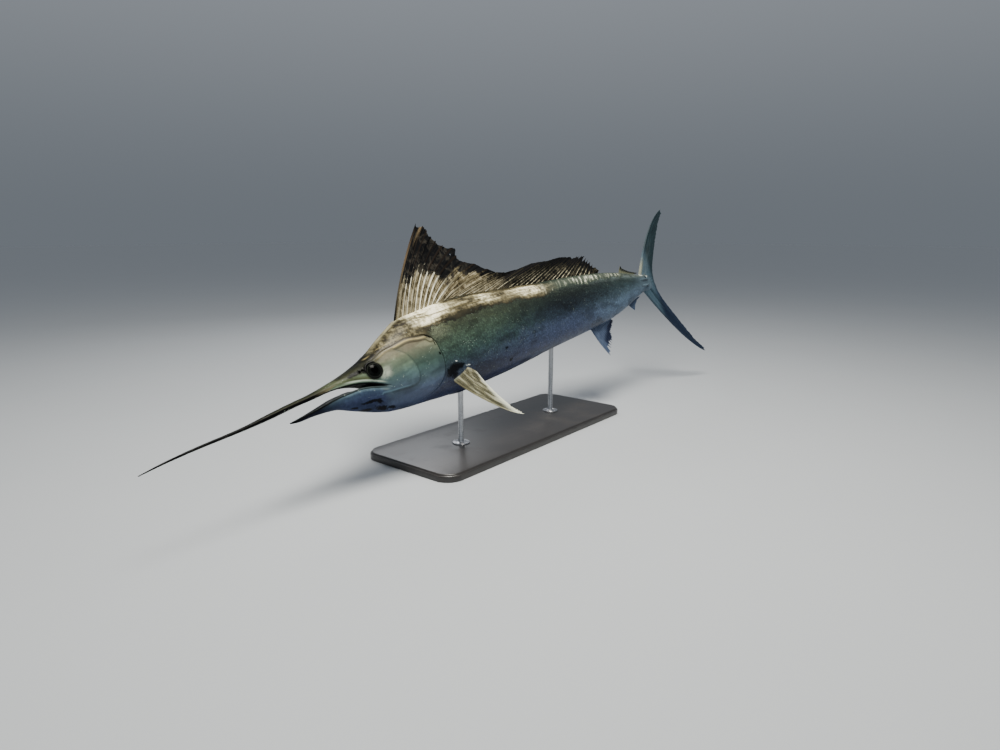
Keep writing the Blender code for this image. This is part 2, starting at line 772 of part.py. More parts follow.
def median_fin(shape):
    """Small fin on the middle line of the back or the belly."""
    sign = 1 if shape.line == TOP else -1

    def root(across):
        place = shape.root[0] + (shape.root[1] - shape.root[0]) * across
        return (place, 0.0, outline_height(place, shape.line) + sign * GAP_PERCENT)

    def tip(across):
        return (straight(shape.tips, across, 1), 0.0, straight(shape.tips, across, 2))

    def bow(across):
        return Vector(shape.bow) * (1 - across)

    return Fin(root, tip, bow, shape.rays, shape.rows)


def tail_lobe(sign, tips, lead):
    """One lobe of the tail fin, fanning from the end of the body to the lobe's tip."""
    line = TOP if sign > 0 else BOTTOM
    middle = LOBE_MIDDLE + sign * GAP_PERCENT / 2
    end_face = BODY_END + GAP_PERCENT
    corner = sign * (smooth(BODY, BODY_END, TOP) + GAP_PERCENT)

    def root(across):
        if across <= LOBE_CORNER:
            place = LOBE_ROOT + (end_face - LOBE_ROOT) * across / LOBE_CORNER
            return (place, 0.0, outline_height(place, line) + sign * GAP_PERCENT)
        part = (across - LOBE_CORNER) / (1 - LOBE_CORNER)
        return (end_face, 0.0, corner * (1 - part) + middle * part)

    def tip(across):
        height = straight(tips, across, 2) if across < 1 else middle
        return (straight(tips, across, 1), 0.0, height)

    def bow(across):
        fade = (1 - across) ** LOBE_BOW_FADE
        return (lead[0] * fade, 0.0, lead[1] * fade)

    return Fin(root, tip, bow, TAIL_RAYS, TAIL_ROWS)


def pectoral_fin(side, tips, bend):
    """Pectoral fin, rooted on the side behind the gill cover."""

    def root(across):
        place, height = straight(PECTORAL_ROOT, across, 1), straight(PECTORAL_ROOT, across, 2)
        return (place, side * (flank(place, height) + PECTORAL_CLEARANCE), height)

    def tip(across):
        place, out, height = (straight(tips, across, column) for column in (1, 2, 3))
        return (place, side * out, height)

    def bow(across):
        fade = 1 - across
        return (bend[0] * fade, side * bend[1], bend[2] * fade)

    return Fin(root, tip, bow, PECTORAL_RAYS, PECTORAL_ROWS)


class PelvicFin(Fin):
    """Long thin pelvic fin, folded back on edge along the belly."""

    def __init__(self, side):
        super().__init__(None, None, None, PELVIC_RAYS, PELVIC_ROWS)
        self.side = side

    def centre(self, across, along):
        place = PELVIC_START + (PELVIC_END - PELVIC_START - PELVIC_SHORTEN * across) * along
        grown = min(1.0, PELVIC_GROW[0] + PELVIC_GROW[1] * along)
        deep = PELVIC_HEIGHT * grown * (1 - PELVIC_FALL * along) * across
        height = outline_height(place, BOTTOM) - 2 * GAP_PERCENT - deep
        return Vector((place, self.side * PELVIC_SIDE, height))


def build_bill_and_jaw(pose, skins):
    bill_places = list(BILL_STATIONS)
    bill_places[-1] -= GAP_PERCENT / 2
    make_object("bill", loft([upper_ring(p) for p in bill_places]), skins["bill"], pose)
    jaw_places = list(JAW_STATIONS)
    jaw_places[-1] -= GAP_PERCENT
    make_object("lower_jaw", loft([lower_ring(p) for p in jaw_places]), skins["jaw"], pose)


def head_mesh():
    """Head from the bill's root to the gills, with the mouth's roof and its corner."""
    bm = bmesh.new()
    places = list(HEAD_STATIONS)
    places[-1] -= GAP_PERCENT / 2
    rear = [add_ring(bm, body_ring(p)) for p in places]
    bridge_all(bm, rear)
    close_ring(bm, rear[-1])

    corner = rear[0]
    left_lip = body_ring(MOUTH_CORNER)[LIP_INDEX]
    crease = add_ring(bm, lip_strip(MOUTH_CORNER, left_lip, 0.0))
    places = list(CHEEK_STATIONS)
    places[0] += GAP_PERCENT / 2
    layers = [add_ring(bm, upper_ring(p)) for p in places]
    layers.append([corner[i % RING] for i in range(-LIP_INDEX, LIP_INDEX + 1)] + crease)
    bridge_all(bm, layers)
    close_ring(bm, layers[0])
    throat = corner[LIP_INDEX:RING - LIP_INDEX + 1]
    close_ring(bm, throat + crease[::-1])
    return bm


def build_head(pose, skins):
    """Head with eye rims, sockets and nostrils, and the eyes and gill covers in it."""
    head = make_object("head", head_mesh(), skins["head"], pose)
    rims, cuts = [], []
    for side, name in ((-1, "left"), (1, "right")):
        rims.append(make_object("rim", lid_ring(side), None, pose))
        cuts.append(make_object("socket", eye_solid(side, GAP), None, pose))
        cleft = gill_cover(side, lambda part: COVER_CUT_HEIGHT, COVER_DEPTH + GAP_PERCENT, COVER_SLIT)
        cuts.append(make_object("cleft", cleft, None, pose))
        for place, height in NOSTRIL_PLACES:
            cuts.append(make_object("nostril", nostril_solid(place, height, side), None, pose))
        make_object("eye_" + name, eye_solid(side, 0.0), skins["eye"], pose)
        make_object("gill_cover_" + name, gill_cover(side, cover_lift, COVER_DEPTH), skins["cover"], pose)
    join_solids(head, rims)
    join_solids(head, cuts, "DIFFERENCE")


def build_trunk(pose, skins):
    """Body nodes from the gills to the tail, with two keels on each side at the end."""
    for node, name in enumerate(TORSO_NAMES):
        places = trunk_stations(node)
        places[0] += GAP_PERCENT / 2
        if name != TORSO_NAMES[-1]:
            places[-1] -= GAP_PERCENT / 2
        body = make_object(name, loft([body_ring(p) for p in places]), skins[name], pose)
    keels = [make_object("keel", keel_solid(side, height), None)
             for side in (-1, 1) for height in KEEL_HEIGHTS]
    join_solids(body, keels)


def build_fins(pose, skins):
    """All fins, each rooted on the body with a thin gap."""
    build_sail(pose, skins["sail"])
    for name, shape in MEDIAN_FINS.items():
        halves = taper(shape.ray_half), taper(shape.web_half)
        bm = median_fin(shape).build(*halves, even(shape.notch), shape.seed)
        make_object(name, bm, skins["small_fin"], pose)

    upper = tail_lobe(1, UPPER_LOBE_TIPS, UPPER_LOBE_BOW)
    lower = tail_lobe(-1, LOWER_LOBE_TIPS, LOWER_LOBE_BOW)
    for name, lobe, seed in zip(("tail_lobe_upper", "tail_lobe_lower"), (upper, lower), TAIL_SEEDS):
        bm = lobe.build(lobe_taper(TAIL_RAY_HALF), lobe_taper(TAIL_WEB_HALF), even(TAIL_NOTCH), seed)
        make_object(name, bm, skins["tail"], pose)

    left = pectoral_fin(-1, LEFT_PECTORAL_TIPS, LEFT_PECTORAL_BOW)
    right = pectoral_fin(1, RIGHT_PECTORAL_TIPS, RIGHT_PECTORAL_BOW)
    for name, fin in (("pectoral_left", left), ("pectoral_right", right)):
        halves = curved_taper(PECTORAL_RAY_HALF), curved_taper(PECTORAL_WEB_HALF)
        bm = fin.build(*halves, even(PECTORAL_NOTCH), PECTORAL_SEED, PECTORAL_OUT)
        make_object(name, bm, skins["pectoral"], pose)
    for name, side in (("pelvic_left", -1), ("pelvic_right", 1)):
        halves = taper(PELVIC_RAY_HALF), taper(PELVIC_WEB_HALF)
        bm = PelvicFin(side).build(*halves, even(PELVIC_NOTCH), PELVIC_SEED)
        make_object(name, bm, skins["pelvic"], pose)


def build_base(wood):
    """Flat base on the floor, with round corners and a bevelled top edge."""
    length, width, height = BASE_SIZE
    corners = []
    for sx, sy, start in ((1, 1, 0), (-1, 1, 90), (-1, -1, 180), (1, -1, 270)):
        for degrees in spaced(start, start + 90, BASE_CORNER_STEPS):
            angle = math.radians(degrees)
            x = sx * (length / 2 - BASE_CORNER) + BASE_CORNER * math.cos(angle)
            y = sy * (width / 2 - BASE_CORNER) + BASE_CORNER * math.sin(angle)
            corners.append((x, y))
    bm = bmesh.new()
    layers = []
    for z, inset in ((0.0, 0.0), (height - BASE_EDGE, 0.0), (height, BASE_EDGE)):
        shrink_x, shrink_y = 1 - 2 * inset / length, 1 - 2 * inset / width
        layers.append([bm.verts.new((x * shrink_x, y * shrink_y, z)) for x, y in corners])
    bridge_all(bm, layers)
    close_ring(bm, layers[0])
    close_ring(bm, layers[-1])
    make_object("stand_base", bm, wood)


def world_surface(items):
    """Search tree over the faces of posed objects."""
    points, faces = [], []
    for item in items:
        start = len(points)
        points += [item.matrix_world @ vert.co for vert in item.data.vertices]
        faces += [[start + i for i in face.vertices] for face in item.data.polygons]
    return BVHTree.FromPolygons(points, faces)


def rod_solid(surface, x, bottom):
    """Upright rod whose top is cut to the underside of the body."""
    bm = bmesh.new()

    def top_vert(px, py):
        hit = surface.ray_cast(Vector((px, py, bottom)), Vector((0, 0, 1)))
        return bm.verts.new((px, py, hit[0].z - ROD_CLEARANCE))

    base, inner, rim = [], [], []
    for k in range(ROD_SIDES):
        angle = 2 * math.pi * k / ROD_SIDES
        dx, dy = ROD_RADIUS * math.cos(angle), ROD_RADIUS * math.sin(angle)
        base.append(bm.verts.new((x + dx, dy, bottom)))
        rim.append(top_vert(x + dx, dy))
        inner.append(top_vert(x + dx / 2, dy / 2))
    bridge_all(bm, (base, rim, inner))
    centre = top_vert(x, 0.0)
    for a, b in zip(inner, inner[1:] + inner[:1]):
        bm.faces.new((a, b, centre))
    close_ring(bm, base)
    return bm


def build_stand(wood, steel):
    build_base(wood)
    bpy.context.view_layer.update()
    surface = world_surface([bpy.data.objects[name] for name in TORSO_NAMES[:3]])
    for name, x in ROD_PLACES:
        make_object(name, rod_solid(surface, x, BASE_SIZE[2] + GAP), steel)


def make_skins():
    """Materials of the fish's nodes: colour and roughness."""
    looks = {
        "bill": ("bill_dark", (0.045, 0.04, 0.03), 0.4),
        "jaw": ("jaw_slate", (0.09, 0.12, 0.16), 0.4),
        "head": ("head_grey_green", (0.16, 0.17, 0.12), 0.35),
        "cover": ("gill_cover_pale", (0.24, 0.26, 0.19), 0.35),
        "eye": ("eye_black", (0.01, 0.01, 0.012), 0.1),
        "torso_front": ("torso_bronze", (0.17, 0.16, 0.1), 0.35),
        "torso_middle": ("torso_olive", (0.13, 0.15, 0.12), 0.35),
        "torso_rear": ("torso_slate", (0.11, 0.13, 0.16), 0.35),
        "tail_peduncle": ("peduncle_olive", (0.12, 0.13, 0.11), 0.35),
        "sail": ("sail_dark_brown", (0.035, 0.025, 0.02), 0.5),
        "small_fin": ("fin_blue_violet", (0.05, 0.06, 0.12), 0.5),
        "tail": ("tail_dark_olive", (0.03, 0.035, 0.045), 0.45),
        "pectoral": ("pectoral_tan", (0.3, 0.22, 0.11), 0.45),
        "pelvic": ("pelvic_dark", (0.03, 0.035, 0.06), 0.5),
    }
    return {key: make_material(*look) for key, look in looks.items()}


def main():
    clear_scene()
    pose = bpy.data.objects.new("fish_pose", None)
    bpy.context.collection.objects.link(pose)
    pose.location = FISH_PLACE
    pose.rotation_euler = (-BANK, -NOSE_DOWN, 0)

    skins = make_skins()
    build_bill_and_jaw(pose, skins)
    build_head(pose, skins)
    build_trunk(pose, skins)
    build_fins(pose, skins)
    wood = make_material("stand_painted_wood", (0.05, 0.045, 0.04), 0.45)
    steel = make_material("stand_brushed_steel", (0.55, 0.55, 0.56), 0.3, 1.0)
    build_stand(wood, steel)


main()
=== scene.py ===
# %% [markdown]
# A sailfish, life size, as a still museum model on a plain display stand.
# The real fish is a long, slightly flattened spindle in one smooth skin, with a
# round bill in front, a tall torn sail on its back and a thin forked tail.
# It could be sculpted by hand, but its outline follows a few clear curves, so the
# body here is a skin stretched over oval sections that are read from short tables.
# The fins are thin sheets with a ridge for each ray, set into that skin.

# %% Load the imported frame
import math
import random

import bmesh
import bpy
import numpy as np
from mathutils import Euler, Matrix, Vector


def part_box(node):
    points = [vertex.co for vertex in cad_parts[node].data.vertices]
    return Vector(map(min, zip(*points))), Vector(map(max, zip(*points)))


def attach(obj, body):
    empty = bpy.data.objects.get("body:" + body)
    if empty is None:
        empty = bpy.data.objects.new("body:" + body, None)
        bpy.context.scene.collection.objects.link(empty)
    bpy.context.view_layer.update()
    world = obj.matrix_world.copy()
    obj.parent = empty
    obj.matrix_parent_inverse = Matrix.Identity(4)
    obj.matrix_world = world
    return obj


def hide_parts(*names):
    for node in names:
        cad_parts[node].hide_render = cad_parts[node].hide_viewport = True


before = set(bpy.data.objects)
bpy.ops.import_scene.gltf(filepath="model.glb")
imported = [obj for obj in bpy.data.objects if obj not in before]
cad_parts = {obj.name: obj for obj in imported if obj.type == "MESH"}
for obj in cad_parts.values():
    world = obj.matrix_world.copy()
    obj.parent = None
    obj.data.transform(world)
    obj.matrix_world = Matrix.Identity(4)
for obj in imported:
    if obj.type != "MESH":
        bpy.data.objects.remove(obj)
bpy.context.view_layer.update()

# %% [markdown]
# Every size of the fish is in percent of its length from the tip of the lower jaw
# to the fork of the tail, the way fish are measured. It is drawn straight, with X
# towards the tail, Y to its right side and Z up. A real fish is never quite
# straight, so its rear half then swings a little, and the whole fish is set on the
# stand nose down and leaning on its right side. Doing it in this order keeps all
# tables symmetrical and easy to read.

# %% Length, bend and pose
LENGTH = 1.75
PERCENT = LENGTH / 100
NOSE_DOWN = math.radians(7.45)
BANK = math.radians(18.67)
FISH_PLACE = Vector((-0.80, 0.0, 0.245))
BEND_START = 45.0
BEND_LENGTH = 55.0
TAIL_SWING = 0.80
TAIL_DROOP = 2.57
POSE = Matrix.Translation(FISH_PLACE) @ Euler((-BANK, -NOSE_DOWN, 0)).to_matrix().to_4x4()
TURN = np.array(POSE.to_3x3())


def to_world(points):
    """World places in metres of points of the straight fish in percents."""
    points = np.asarray(points, float)
    along = np.maximum(0.0, (points[..., 0] - BEND_START) / BEND_LENGTH)
    bent = points.copy()
    bent[..., 1] -= TAIL_SWING * along * along
    bent[..., 2] -= TAIL_DROOP * along * along
    return bent * PERCENT @ TURN.T + np.array(FISH_PLACE)


print("tip of the lower jaw at", to_world([0, 0, 0]).round(3))

# %% [markdown]
# The camera stands where the photographer was: close to the head, a little above
# the fish, with a wide lens, so that the head looks large and the tail small.
# A camera object only needs a place, a turn and a focal length, which a sensor of
# 36 mm turns into the same angle of view.

# %% Camera
CAMERA_PLACE = (-1.5918, -1.2672, 0.6387)
CAMERA_TURN = tuple(math.radians(degrees) for degrees in (77.563, 0.009, -50.818))
CAMERA_LENS = 23.67


def new_object(name, data):
    """Object with its data, linked to the scene."""
    made = bpy.data.objects.new(name, data)
    bpy.context.scene.collection.objects.link(made)
    return made


camera_data = bpy.data.cameras.new("camera")
camera_data.lens = CAMERA_LENS
camera_data.clip_start = 0.01
camera = new_object("camera", camera_data)
camera.location = CAMERA_PLACE
camera.rotation_euler = CAMERA_TURN
bpy.context.scene.camera = camera
print("camera", CAMERA_LENS, "mm at", CAMERA_PLACE)

# %% [markdown]
# The studio is a pale floor, a pale sky of even light and three soft lamps: a
# large key above, because the fish is lit from the water's surface, a weak fill at
# its left side and a rim behind it. Area lamps give the soft edges that a small
# hard lamp wouldn't. The belly stays in its own shade, deepened by painted shade in
# its colour. The sky is a little darker at the horizon, where it meets the floor
# without a line.

# %% Floor and light
FLOOR_SIZE = 60.0
FLOOR_COLOUR = (0.42, 0.44, 0.46, 1)
SKY_TOP = (0.80, 0.86, 0.94, 1)
SKY_HORIZON = (0.353, 0.398, 0.452, 1)
SKY_STRENGTH = 0.42
LAMPS = (
    ("key", (-0.55, -0.60, 2.8), (-0.15, 0.0, 0.4), 1.2, 165.0, (1.0, 0.965, 0.88)),
    ("fill", (-2.6, -2.2, 1.2), (-0.3, 0.0, 0.4), 1.6, 7.0, (0.86, 0.93, 1.0)),
    ("rim", (1.2, 2.0, 1.9), (0.3, 0.0, 0.4), 1.2, 18.0, (0.95, 0.97, 1.0)),
)


def add_lamp(name, place, target, size, power, colour):
    """Square area lamp that looks at a point."""
    data = bpy.data.lights.new(name, "AREA")
    data.energy, data.size, data.color = power, size, colour
    lamp = new_object(name, data)
    lamp.location = place
    lamp.rotation_euler = (Vector(target) - Vector(place)).to_track_quat("-Z", "Y").to_euler()


for row in LAMPS:
    add_lamp(*row)
print(len(LAMPS), "lamps")

# %% [markdown]
# Shader nodes are wordy, so two small helpers keep the materials readable. The result
# of a node is a Value, which can be added, taken away and multiplied like a number,
# and its methods add further nodes to it. A mask is a number from 0 to 1 that says
# where a colour goes, and masks that are multiplied keep what they share. Most masks
# here start from numbers that the mesh carries at each point, such as the distance
# from the gill opening, and are roughened with noise so that no edge looks drawn.

# %% Shader helpers
DIM = (0.42, 0.42, 0.42, 1.0)
LIFT = (2.1, 2.2, 2.0, 1.0)


def tint(red, green, blue):
    """Colour of a shader from the usual 0 to 255 values of a screen."""
    return tuple((value / 255) ** 2.2 for value in (red, green, blue)) + (1.0,)


class Value:
    """Result of a node, which can be worked with like a number."""

    def __init__(self, shader, socket):
        self.shader, self.socket = shader, socket

    def __add__(self, other):
        return self.shader.maths("ADD", self, other)

    def __sub__(self, other):
        return self.shader.maths("SUBTRACT", self, other)

    def __rsub__(self, other):
        return self.shader.maths("SUBTRACT", other, self)

    def __mul__(self, other):
        return self.shader.maths("MULTIPLY", self, other)

    def span(self, low, high, start=0.0, end=1.0, kind="SMOOTHSTEP"):
        """Smooth rise from start to end while the value goes from low to high."""
        inputs = {"Value": self, "From Min": low, "From Max": high, "To Min": start, "To Max": end}
        return self.shader.value("ShaderNodeMapRange", inputs, interpolation_type=kind)

    def part(self, low, high):
        """Smooth rise from 0 to 1 between two places in percents of the fish's length."""
        return self.span(low * PERCENT, high * PERCENT)

    def near(self, middle, width):
        """1 at the middle value, falling to 0 a width away on both sides."""
        return self.shader.maths("ABSOLUTE", self - middle).span(width, 0.0)

    def stretched(self, scale):
        return self.shader.value("ShaderNodeVectorMath", {0: self, 1: scale}, operation="MULTIPLY")

    def noise(self, scale, detail=3.0, roughness=0.55, distortion=0.0, stretch=None):
        """Cloudy noise at a place, drawn out along the axes where the stretch is small."""
        inputs = {"Vector": self.stretched(stretch) if stretch else self, "Scale": scale,
                  "Detail": detail, "Roughness": roughness, "Distortion": distortion}
        return self.shader.value("ShaderNodeTexNoise", inputs)

    def ramp(self, *stops):
        """Colour read from a row of stops, each with its level and its screen colour."""
        node = self.shader.add("ShaderNodeValToRGB", {0: self})
        elements = node.color_ramp.elements
        for index, (level, *colour) in enumerate(stops):
            if index > 1:
                elements.new(level)
            elements[index].position = level
            elements[index].color = tint(*colour)
        return Value(self.shader, node.outputs[0])

    def lay(self, colour, mask, *masks, blend="MIX"):
        """This colour with another laid over it where all the masks let it show."""
        for other in masks:
            mask = mask * other
        return self.shader.mix(mask, self, colour, blend)

    def dimmed(self, *masks):
        return self.lay(DIM, *masks, blend="MULTIPLY")

    def lifted(self, *masks):
        return self.lay(LIFT, *masks, blend="MULTIPLY")

    def greyed(self, saturation, value):
        inputs = {"Color": self, "Saturation": saturation, "Value": value}
        return self.shader.value("ShaderNodeHueSaturation", inputs)


class Shader:
    """Adds nodes to a tree and joins them, one call for each node."""

    kind = "ShaderNodeTree"

    def __init__(self, tree):
        self.tree = tree

    def feed(self, socket, value):
        """Links a result to a socket, or sets what the socket holds itself."""
        source = getattr(value, "socket", value)
        if isinstance(source, bpy.types.NodeSocket):
            self.tree.links.new(source, socket)
        else:
            socket.default_value = value

    def add(self, kind, inputs=(), **settings):
        node = self.tree.nodes.new(kind)
        for name, value in settings.items():
            setattr(node, name, value)
        for key, value in dict(inputs).items():
            self.feed(node.inputs[key], value)
        return node

    def value(self, kind, inputs=(), output=0, **settings):
        return Value(self, self.add(kind, inputs, **settings).outputs[output])

    def maths(self, operation, first, second=0.0):
        return self.value("ShaderNodeMath", {0: first, 1: second}, operation=operation)

    def mix(self, mask, first, second, blend="MIX"):
        """Second colour over the first. Three plain numbers are a screen colour."""
        colours = [tint(*colour) if isinstance(colour, tuple) and len(colour) == 3 else colour
                   for colour in (first, second)]
        return self.value("ShaderNodeMix", {0: mask, 6: colours[0], 7: colours[1]}, 2,
                          data_type="RGBA", blend_type=blend)

    def carried(self, name, output="Fac"):
        """What the mesh carries at each point under a name."""
        return self.value("ShaderNodeAttribute", output=output, attribute_name=name)

    def bump(self, height, distance, strength):
        return self.value("ShaderNodeBump", {"Height": height, "Distance": distance, "Strength": strength})

    def group(self, tree, **inputs):
        """Places a node group and gives back its results by name."""
        node = self.add("ShaderNodeGroup", inputs, node_tree=tree)
        return {socket.name: Value(self, socket) for socket in node.outputs}

    def paint(self, **inputs):
        """Feeds inputs of the Principled shader, with their names in small letters."""
        sockets = self.tree.nodes["Principled BSDF"].inputs
        for key, value in inputs.items():
            self.feed(sockets[key.replace("_", " ").title().replace("Ior", "IOR")], value)

    def result(self, **values):
        """Joins a group's results to its outputs and gives back its tree."""
        self.add("NodeGroupOutput", values)
        return self.tree


def new_group(helper, name, inputs, outputs):
    """Empty node group with named sockets: its helper, and its inputs by name."""
    tree = bpy.data.node_groups.new(name, helper.kind)
    for direction, sockets in (("INPUT", inputs), ("OUTPUT", outputs)):
        for socket, kind in sockets.items():
            tree.interface.new_socket(socket, in_out=direction, socket_type="NodeSocket" + kind)
    nodes = helper(tree)
    return nodes, {socket.name: Value(nodes, socket) for socket in nodes.add("NodeGroupInput").outputs}


def new_material(name, **inputs):
    """Material with a Principled shader, and the helper for its nodes."""
    material = bpy.data.materials.new(name)
    material.use_nodes = True
    shader = Shader(material.node_tree)
    shader.paint(**inputs)
    return material, shader

# %% [markdown]
# A sailfish's skin holds thousands of thin, buried scales like splinters that lie
# along the body, and pale flecks where they catch the light. Each of the two effects
# is a group that is built once: the body uses both, and the tail fin the flecks. The
# splinters are noise stretched along the fish. The flecks are the small cells of a
# Voronoi pattern, kept only where a second noise is high.

# %% Groups for skin grain and flecks
def build_grain_group():
    shader, given = new_group(Shader, "splinter scales", {"Place": "Vector", "Size": "Float"},
                              {"Height": "Float", "Mottle": "Float"})
    place = given["Place"]
    fine = place.noise(420.0, 2.0, 0.6, stretch=(0.22, 1.0, 1.0))
    coarse = place.noise(120.0, 3.0, 0.6, 0.4, (0.22, 1.0, 1.0))
    height = (fine * 0.4 + coarse * 0.6) * given["Size"]
    return shader.result(Height=height, Mottle=place.noise(38.0, 4.0, 0.62, 0.6))


def build_fleck_group():
    shader, given = new_group(Shader, "pale flecks", {"Place": "Vector", "Amount": "Float"},
                              {"Mask": "Float"})
    place = given["Place"]
    inputs = {"Vector": place.stretched((0.6, 1.0, 1.0)), "Scale": 260.0, "Randomness": 1.0}
    cells = shader.add("ShaderNodeTexVoronoi", inputs).outputs
    dots = Value(shader, cells["Distance"]).span(0.34, 0.10)
    chosen = Value(shader, cells["Color"]).span(0.70, 0.80)
    spread = place.noise(22.0, 2.0).span(0.42, 0.66)
    return shader.result(Mask=dots * chosen * spread * given["Amount"])


GRAIN = build_grain_group()
FLECKS = build_fleck_group()
print("groups:", GRAIN.name, "and", FLECKS.name)

# %% Sky and floor
world = bpy.data.worlds.new("studio")
world.use_nodes = True
shader = Shader(world.node_tree)
direction = shader.value("ShaderNodeTexCoord", output="Generated")
level = shader.value("ShaderNodeSeparateXYZ", {0: direction}, "Z")
sky = world.node_tree.nodes["Background"].inputs
shader.feed(sky["Color"], shader.mix(level.span(0.0, 0.55), SKY_HORIZON, SKY_TOP))
shader.feed(sky["Strength"], SKY_STRENGTH)
bpy.context.scene.world = world

floor_material, shader = new_material("pale_floor", roughness=0.75)
cloud = shader.value("ShaderNodeTexCoord", output="Object").noise(2.0)
floor_shade = tuple(channel * 0.96 for channel in FLOOR_COLOUR[:3]) + (1.0,)
shader.paint(base_color=shader.mix(cloud, FLOOR_COLOUR, floor_shade))

reach = FLOOR_SIZE / 2
floor_mesh = bpy.data.meshes.new("studio_floor")
floor_mesh.from_pydata([(-reach, -reach, 0), (reach, -reach, 0), (reach, reach, 0), (-reach, reach, 0)],
                       [], [(0, 1, 2, 3)])
floor_mesh.materials.append(floor_material)
new_object("studio_floor", floor_mesh)
print("floor", FLOOR_SIZE, "m square")

# %% [markdown]
# The body is a row of oval sections. For each station the table gives the height of
# the back and the belly, the half width and the height of the widest line. Between
# the rows a smooth curve is read, the same way a boatbuilder bends a batten through
# a few marks. The upper jaw with the bill and the lower jaw have tables of their own,
# because the mouth is open between them.

# %% Tables of the body
BODY = (
    (15.4, 3.65, -5.60, 2.80, 0.00),
    (18.0, 5.00, -6.02, 3.20, -0.20),
    (20.0, 5.93, -6.22, 3.42, -0.30),
    (22.0, 6.70, -6.40, 3.55, -0.30),
    (26.4, 7.05, -6.88, 3.72, -0.30),
    (31.0, 7.32, -7.14, 3.76, -0.25),
    (36.0, 7.40, -7.24, 3.74, -0.20),
    (44.0, 6.75, -7.34, 3.60, -0.25),
    (56.0, 5.68, -7.02, 3.15, -0.45),
    (69.0, 4.98, -6.50, 2.60, -0.60),
    (78.0, 4.35, -5.75, 2.20, -0.55),
    (85.0, 3.62, -4.35, 1.75, -0.35),
    (90.0, 2.78, -3.00, 1.30, -0.10),
    (94.0, 2.05, -2.05, 0.82, 0.00),
    (97.0, 2.12, -2.12, 0.34, 0.00),
    (98.4, 1.90, -1.90, 0.10, 0.00),
)
TOP, BOTTOM = 1, 2

# Place, top, lip, half width, widest height, angle of the lip, arch of the roof
UPPER_JAW = (
    (-18.5, -0.91, -1.00, 0.07, -0.96, 110, -0.02),
    (-15.6, -0.55, -0.76, 0.14, -0.67, 120, -0.04),
    (-12.0, -0.30, -0.58, 0.19, -0.45, 125, -0.06),
    (-6.0, -0.07, -0.47, 0.26, -0.28, 125, -0.08),
    (-2.0, 0.34, -0.30, 0.42, 0.00, 125, -0.10),
    (1.0, 0.61, -0.10, 0.52, 0.22, 125, -0.05),
    (4.0, 0.84, 0.03, 0.68, 0.38, 122, 0.08),
    (7.0, 1.27, 0.19, 0.95, 0.55, 118, 0.22),
    (9.9, 1.84, -0.03, 1.42, 0.62, 112, 0.35),
    (12.5, 2.56, -0.67, 2.10, 0.42, 107, 0.38),
    (15.4, 3.65, -2.00, 2.80, 0.00, 104, 0.00),
)

# Place, lip, bottom, half width, widest height above the lip, depth of the floor
LOWER_JAW = (
    (0.0, -1.76, -1.86, 0.07, 0.00, 0.00),
    (1.4, -1.66, -2.10, 0.34, 0.00, 0.05),
    (3.8, -1.36, -2.12, 0.64, 0.00, 0.18),
    (7.2, -0.88, -2.48, 1.10, 0.00, 0.35),
    (9.0, -0.80, -3.20, 1.36, 0.02, 0.55),
    (11.2, -0.82, -4.12, 1.85, 0.20, 0.60),
    (13.4, -1.38, -4.98, 2.38, 0.90, 0.35),
    (15.4, -2.00, -5.60, 2.80, 2.00, 0.00),
)
LIP_BLEND_START = 12.5
JAW_BLEND_START = 13.6
MOUTH_CORNER = 15.4
BODY_TAIL = 98.4
BACK_POWER = 1.9
BELLY_POWER = 2.2
LIP_BULGE = 0.12
LIP_BULGE_ANGLE = math.radians(8)
LIP_BULGE_START = 2.0


def curve(table, places, column):
    """Smooth curve through a table's rows, read at one place or many."""
    stops = np.array([row[0] for row in table], float)
    values = np.array([row[column] for row in table], float)
    low = np.maximum(np.arange(len(stops)) - 1, 0)
    high = np.minimum(np.arange(len(stops)) + 1, len(stops) - 1)
    slopes = (values[high] - values[low]) / (stops[high] - stops[low])
    places = np.clip(places, stops[0], stops[-1])
    i = np.clip(np.searchsorted(stops, places, side="right") - 1, 0, len(stops) - 2)
    step = stops[i + 1] - stops[i]
    t = (places - stops[i]) / step
    rise = values[i + 1] - values[i]
    start, end = slopes[i] * step, slopes[i + 1] * step
    return values[i] + start * t + (3 * rise - 2 * start - end) * t ** 2 + (start + end - 2 * rise) * t ** 3


def straight(table, place, column):
    """Value of a column at a place, on straight lines through the table's rows."""
    return np.interp(place, [row[0] for row in table], [row[column] for row in table])


def smoothstep(low, high, values):
    """Soft step from 0 to 1."""
    part = np.clip((np.asarray(values, float) - low) / (high - low), 0, 1)
    return part * part * (3 - 2 * part)


def hill(values, width):
    """Bell of height 1 around 0."""
    return np.exp(-(np.asarray(values, float) / width) ** 2)


print("belly is", round(-curve(BODY, 36.0, BOTTOM) * PERCENT * 1000), "mm below the middle line at 36%")


# %% Sections
def oval(section, angle):
    """Side and height on an oval section, from angle 0 at the top to 180 at the bottom."""
    top, bottom, half_width, widest = section
    side, up = np.sin(angle), np.cos(angle)
    power = np.where(up >= 0, 2 / BACK_POWER, 2 / BELLY_POWER)
    rise = np.where(up >= 0, top - widest, widest - bottom)
    reach = half_width * np.sign(side) * np.abs(side) ** power
    return -reach, widest + np.sign(up) * np.abs(up) ** power * rise


def body_section(place):
    return tuple(curve(BODY, place, column) for column in (1, 2, 3, 4))


def corner_angle():
    """Angle of the corner of the mouth on its section."""
    top, bottom, half_width, widest = body_section(MOUTH_CORNER)
    lip = curve(UPPER_JAW, MOUTH_CORNER, 2)
    return math.acos(-((widest - lip) / (widest - bottom)) ** (BELLY_POWER / 2))


CORNER_ANGLE = corner_angle()


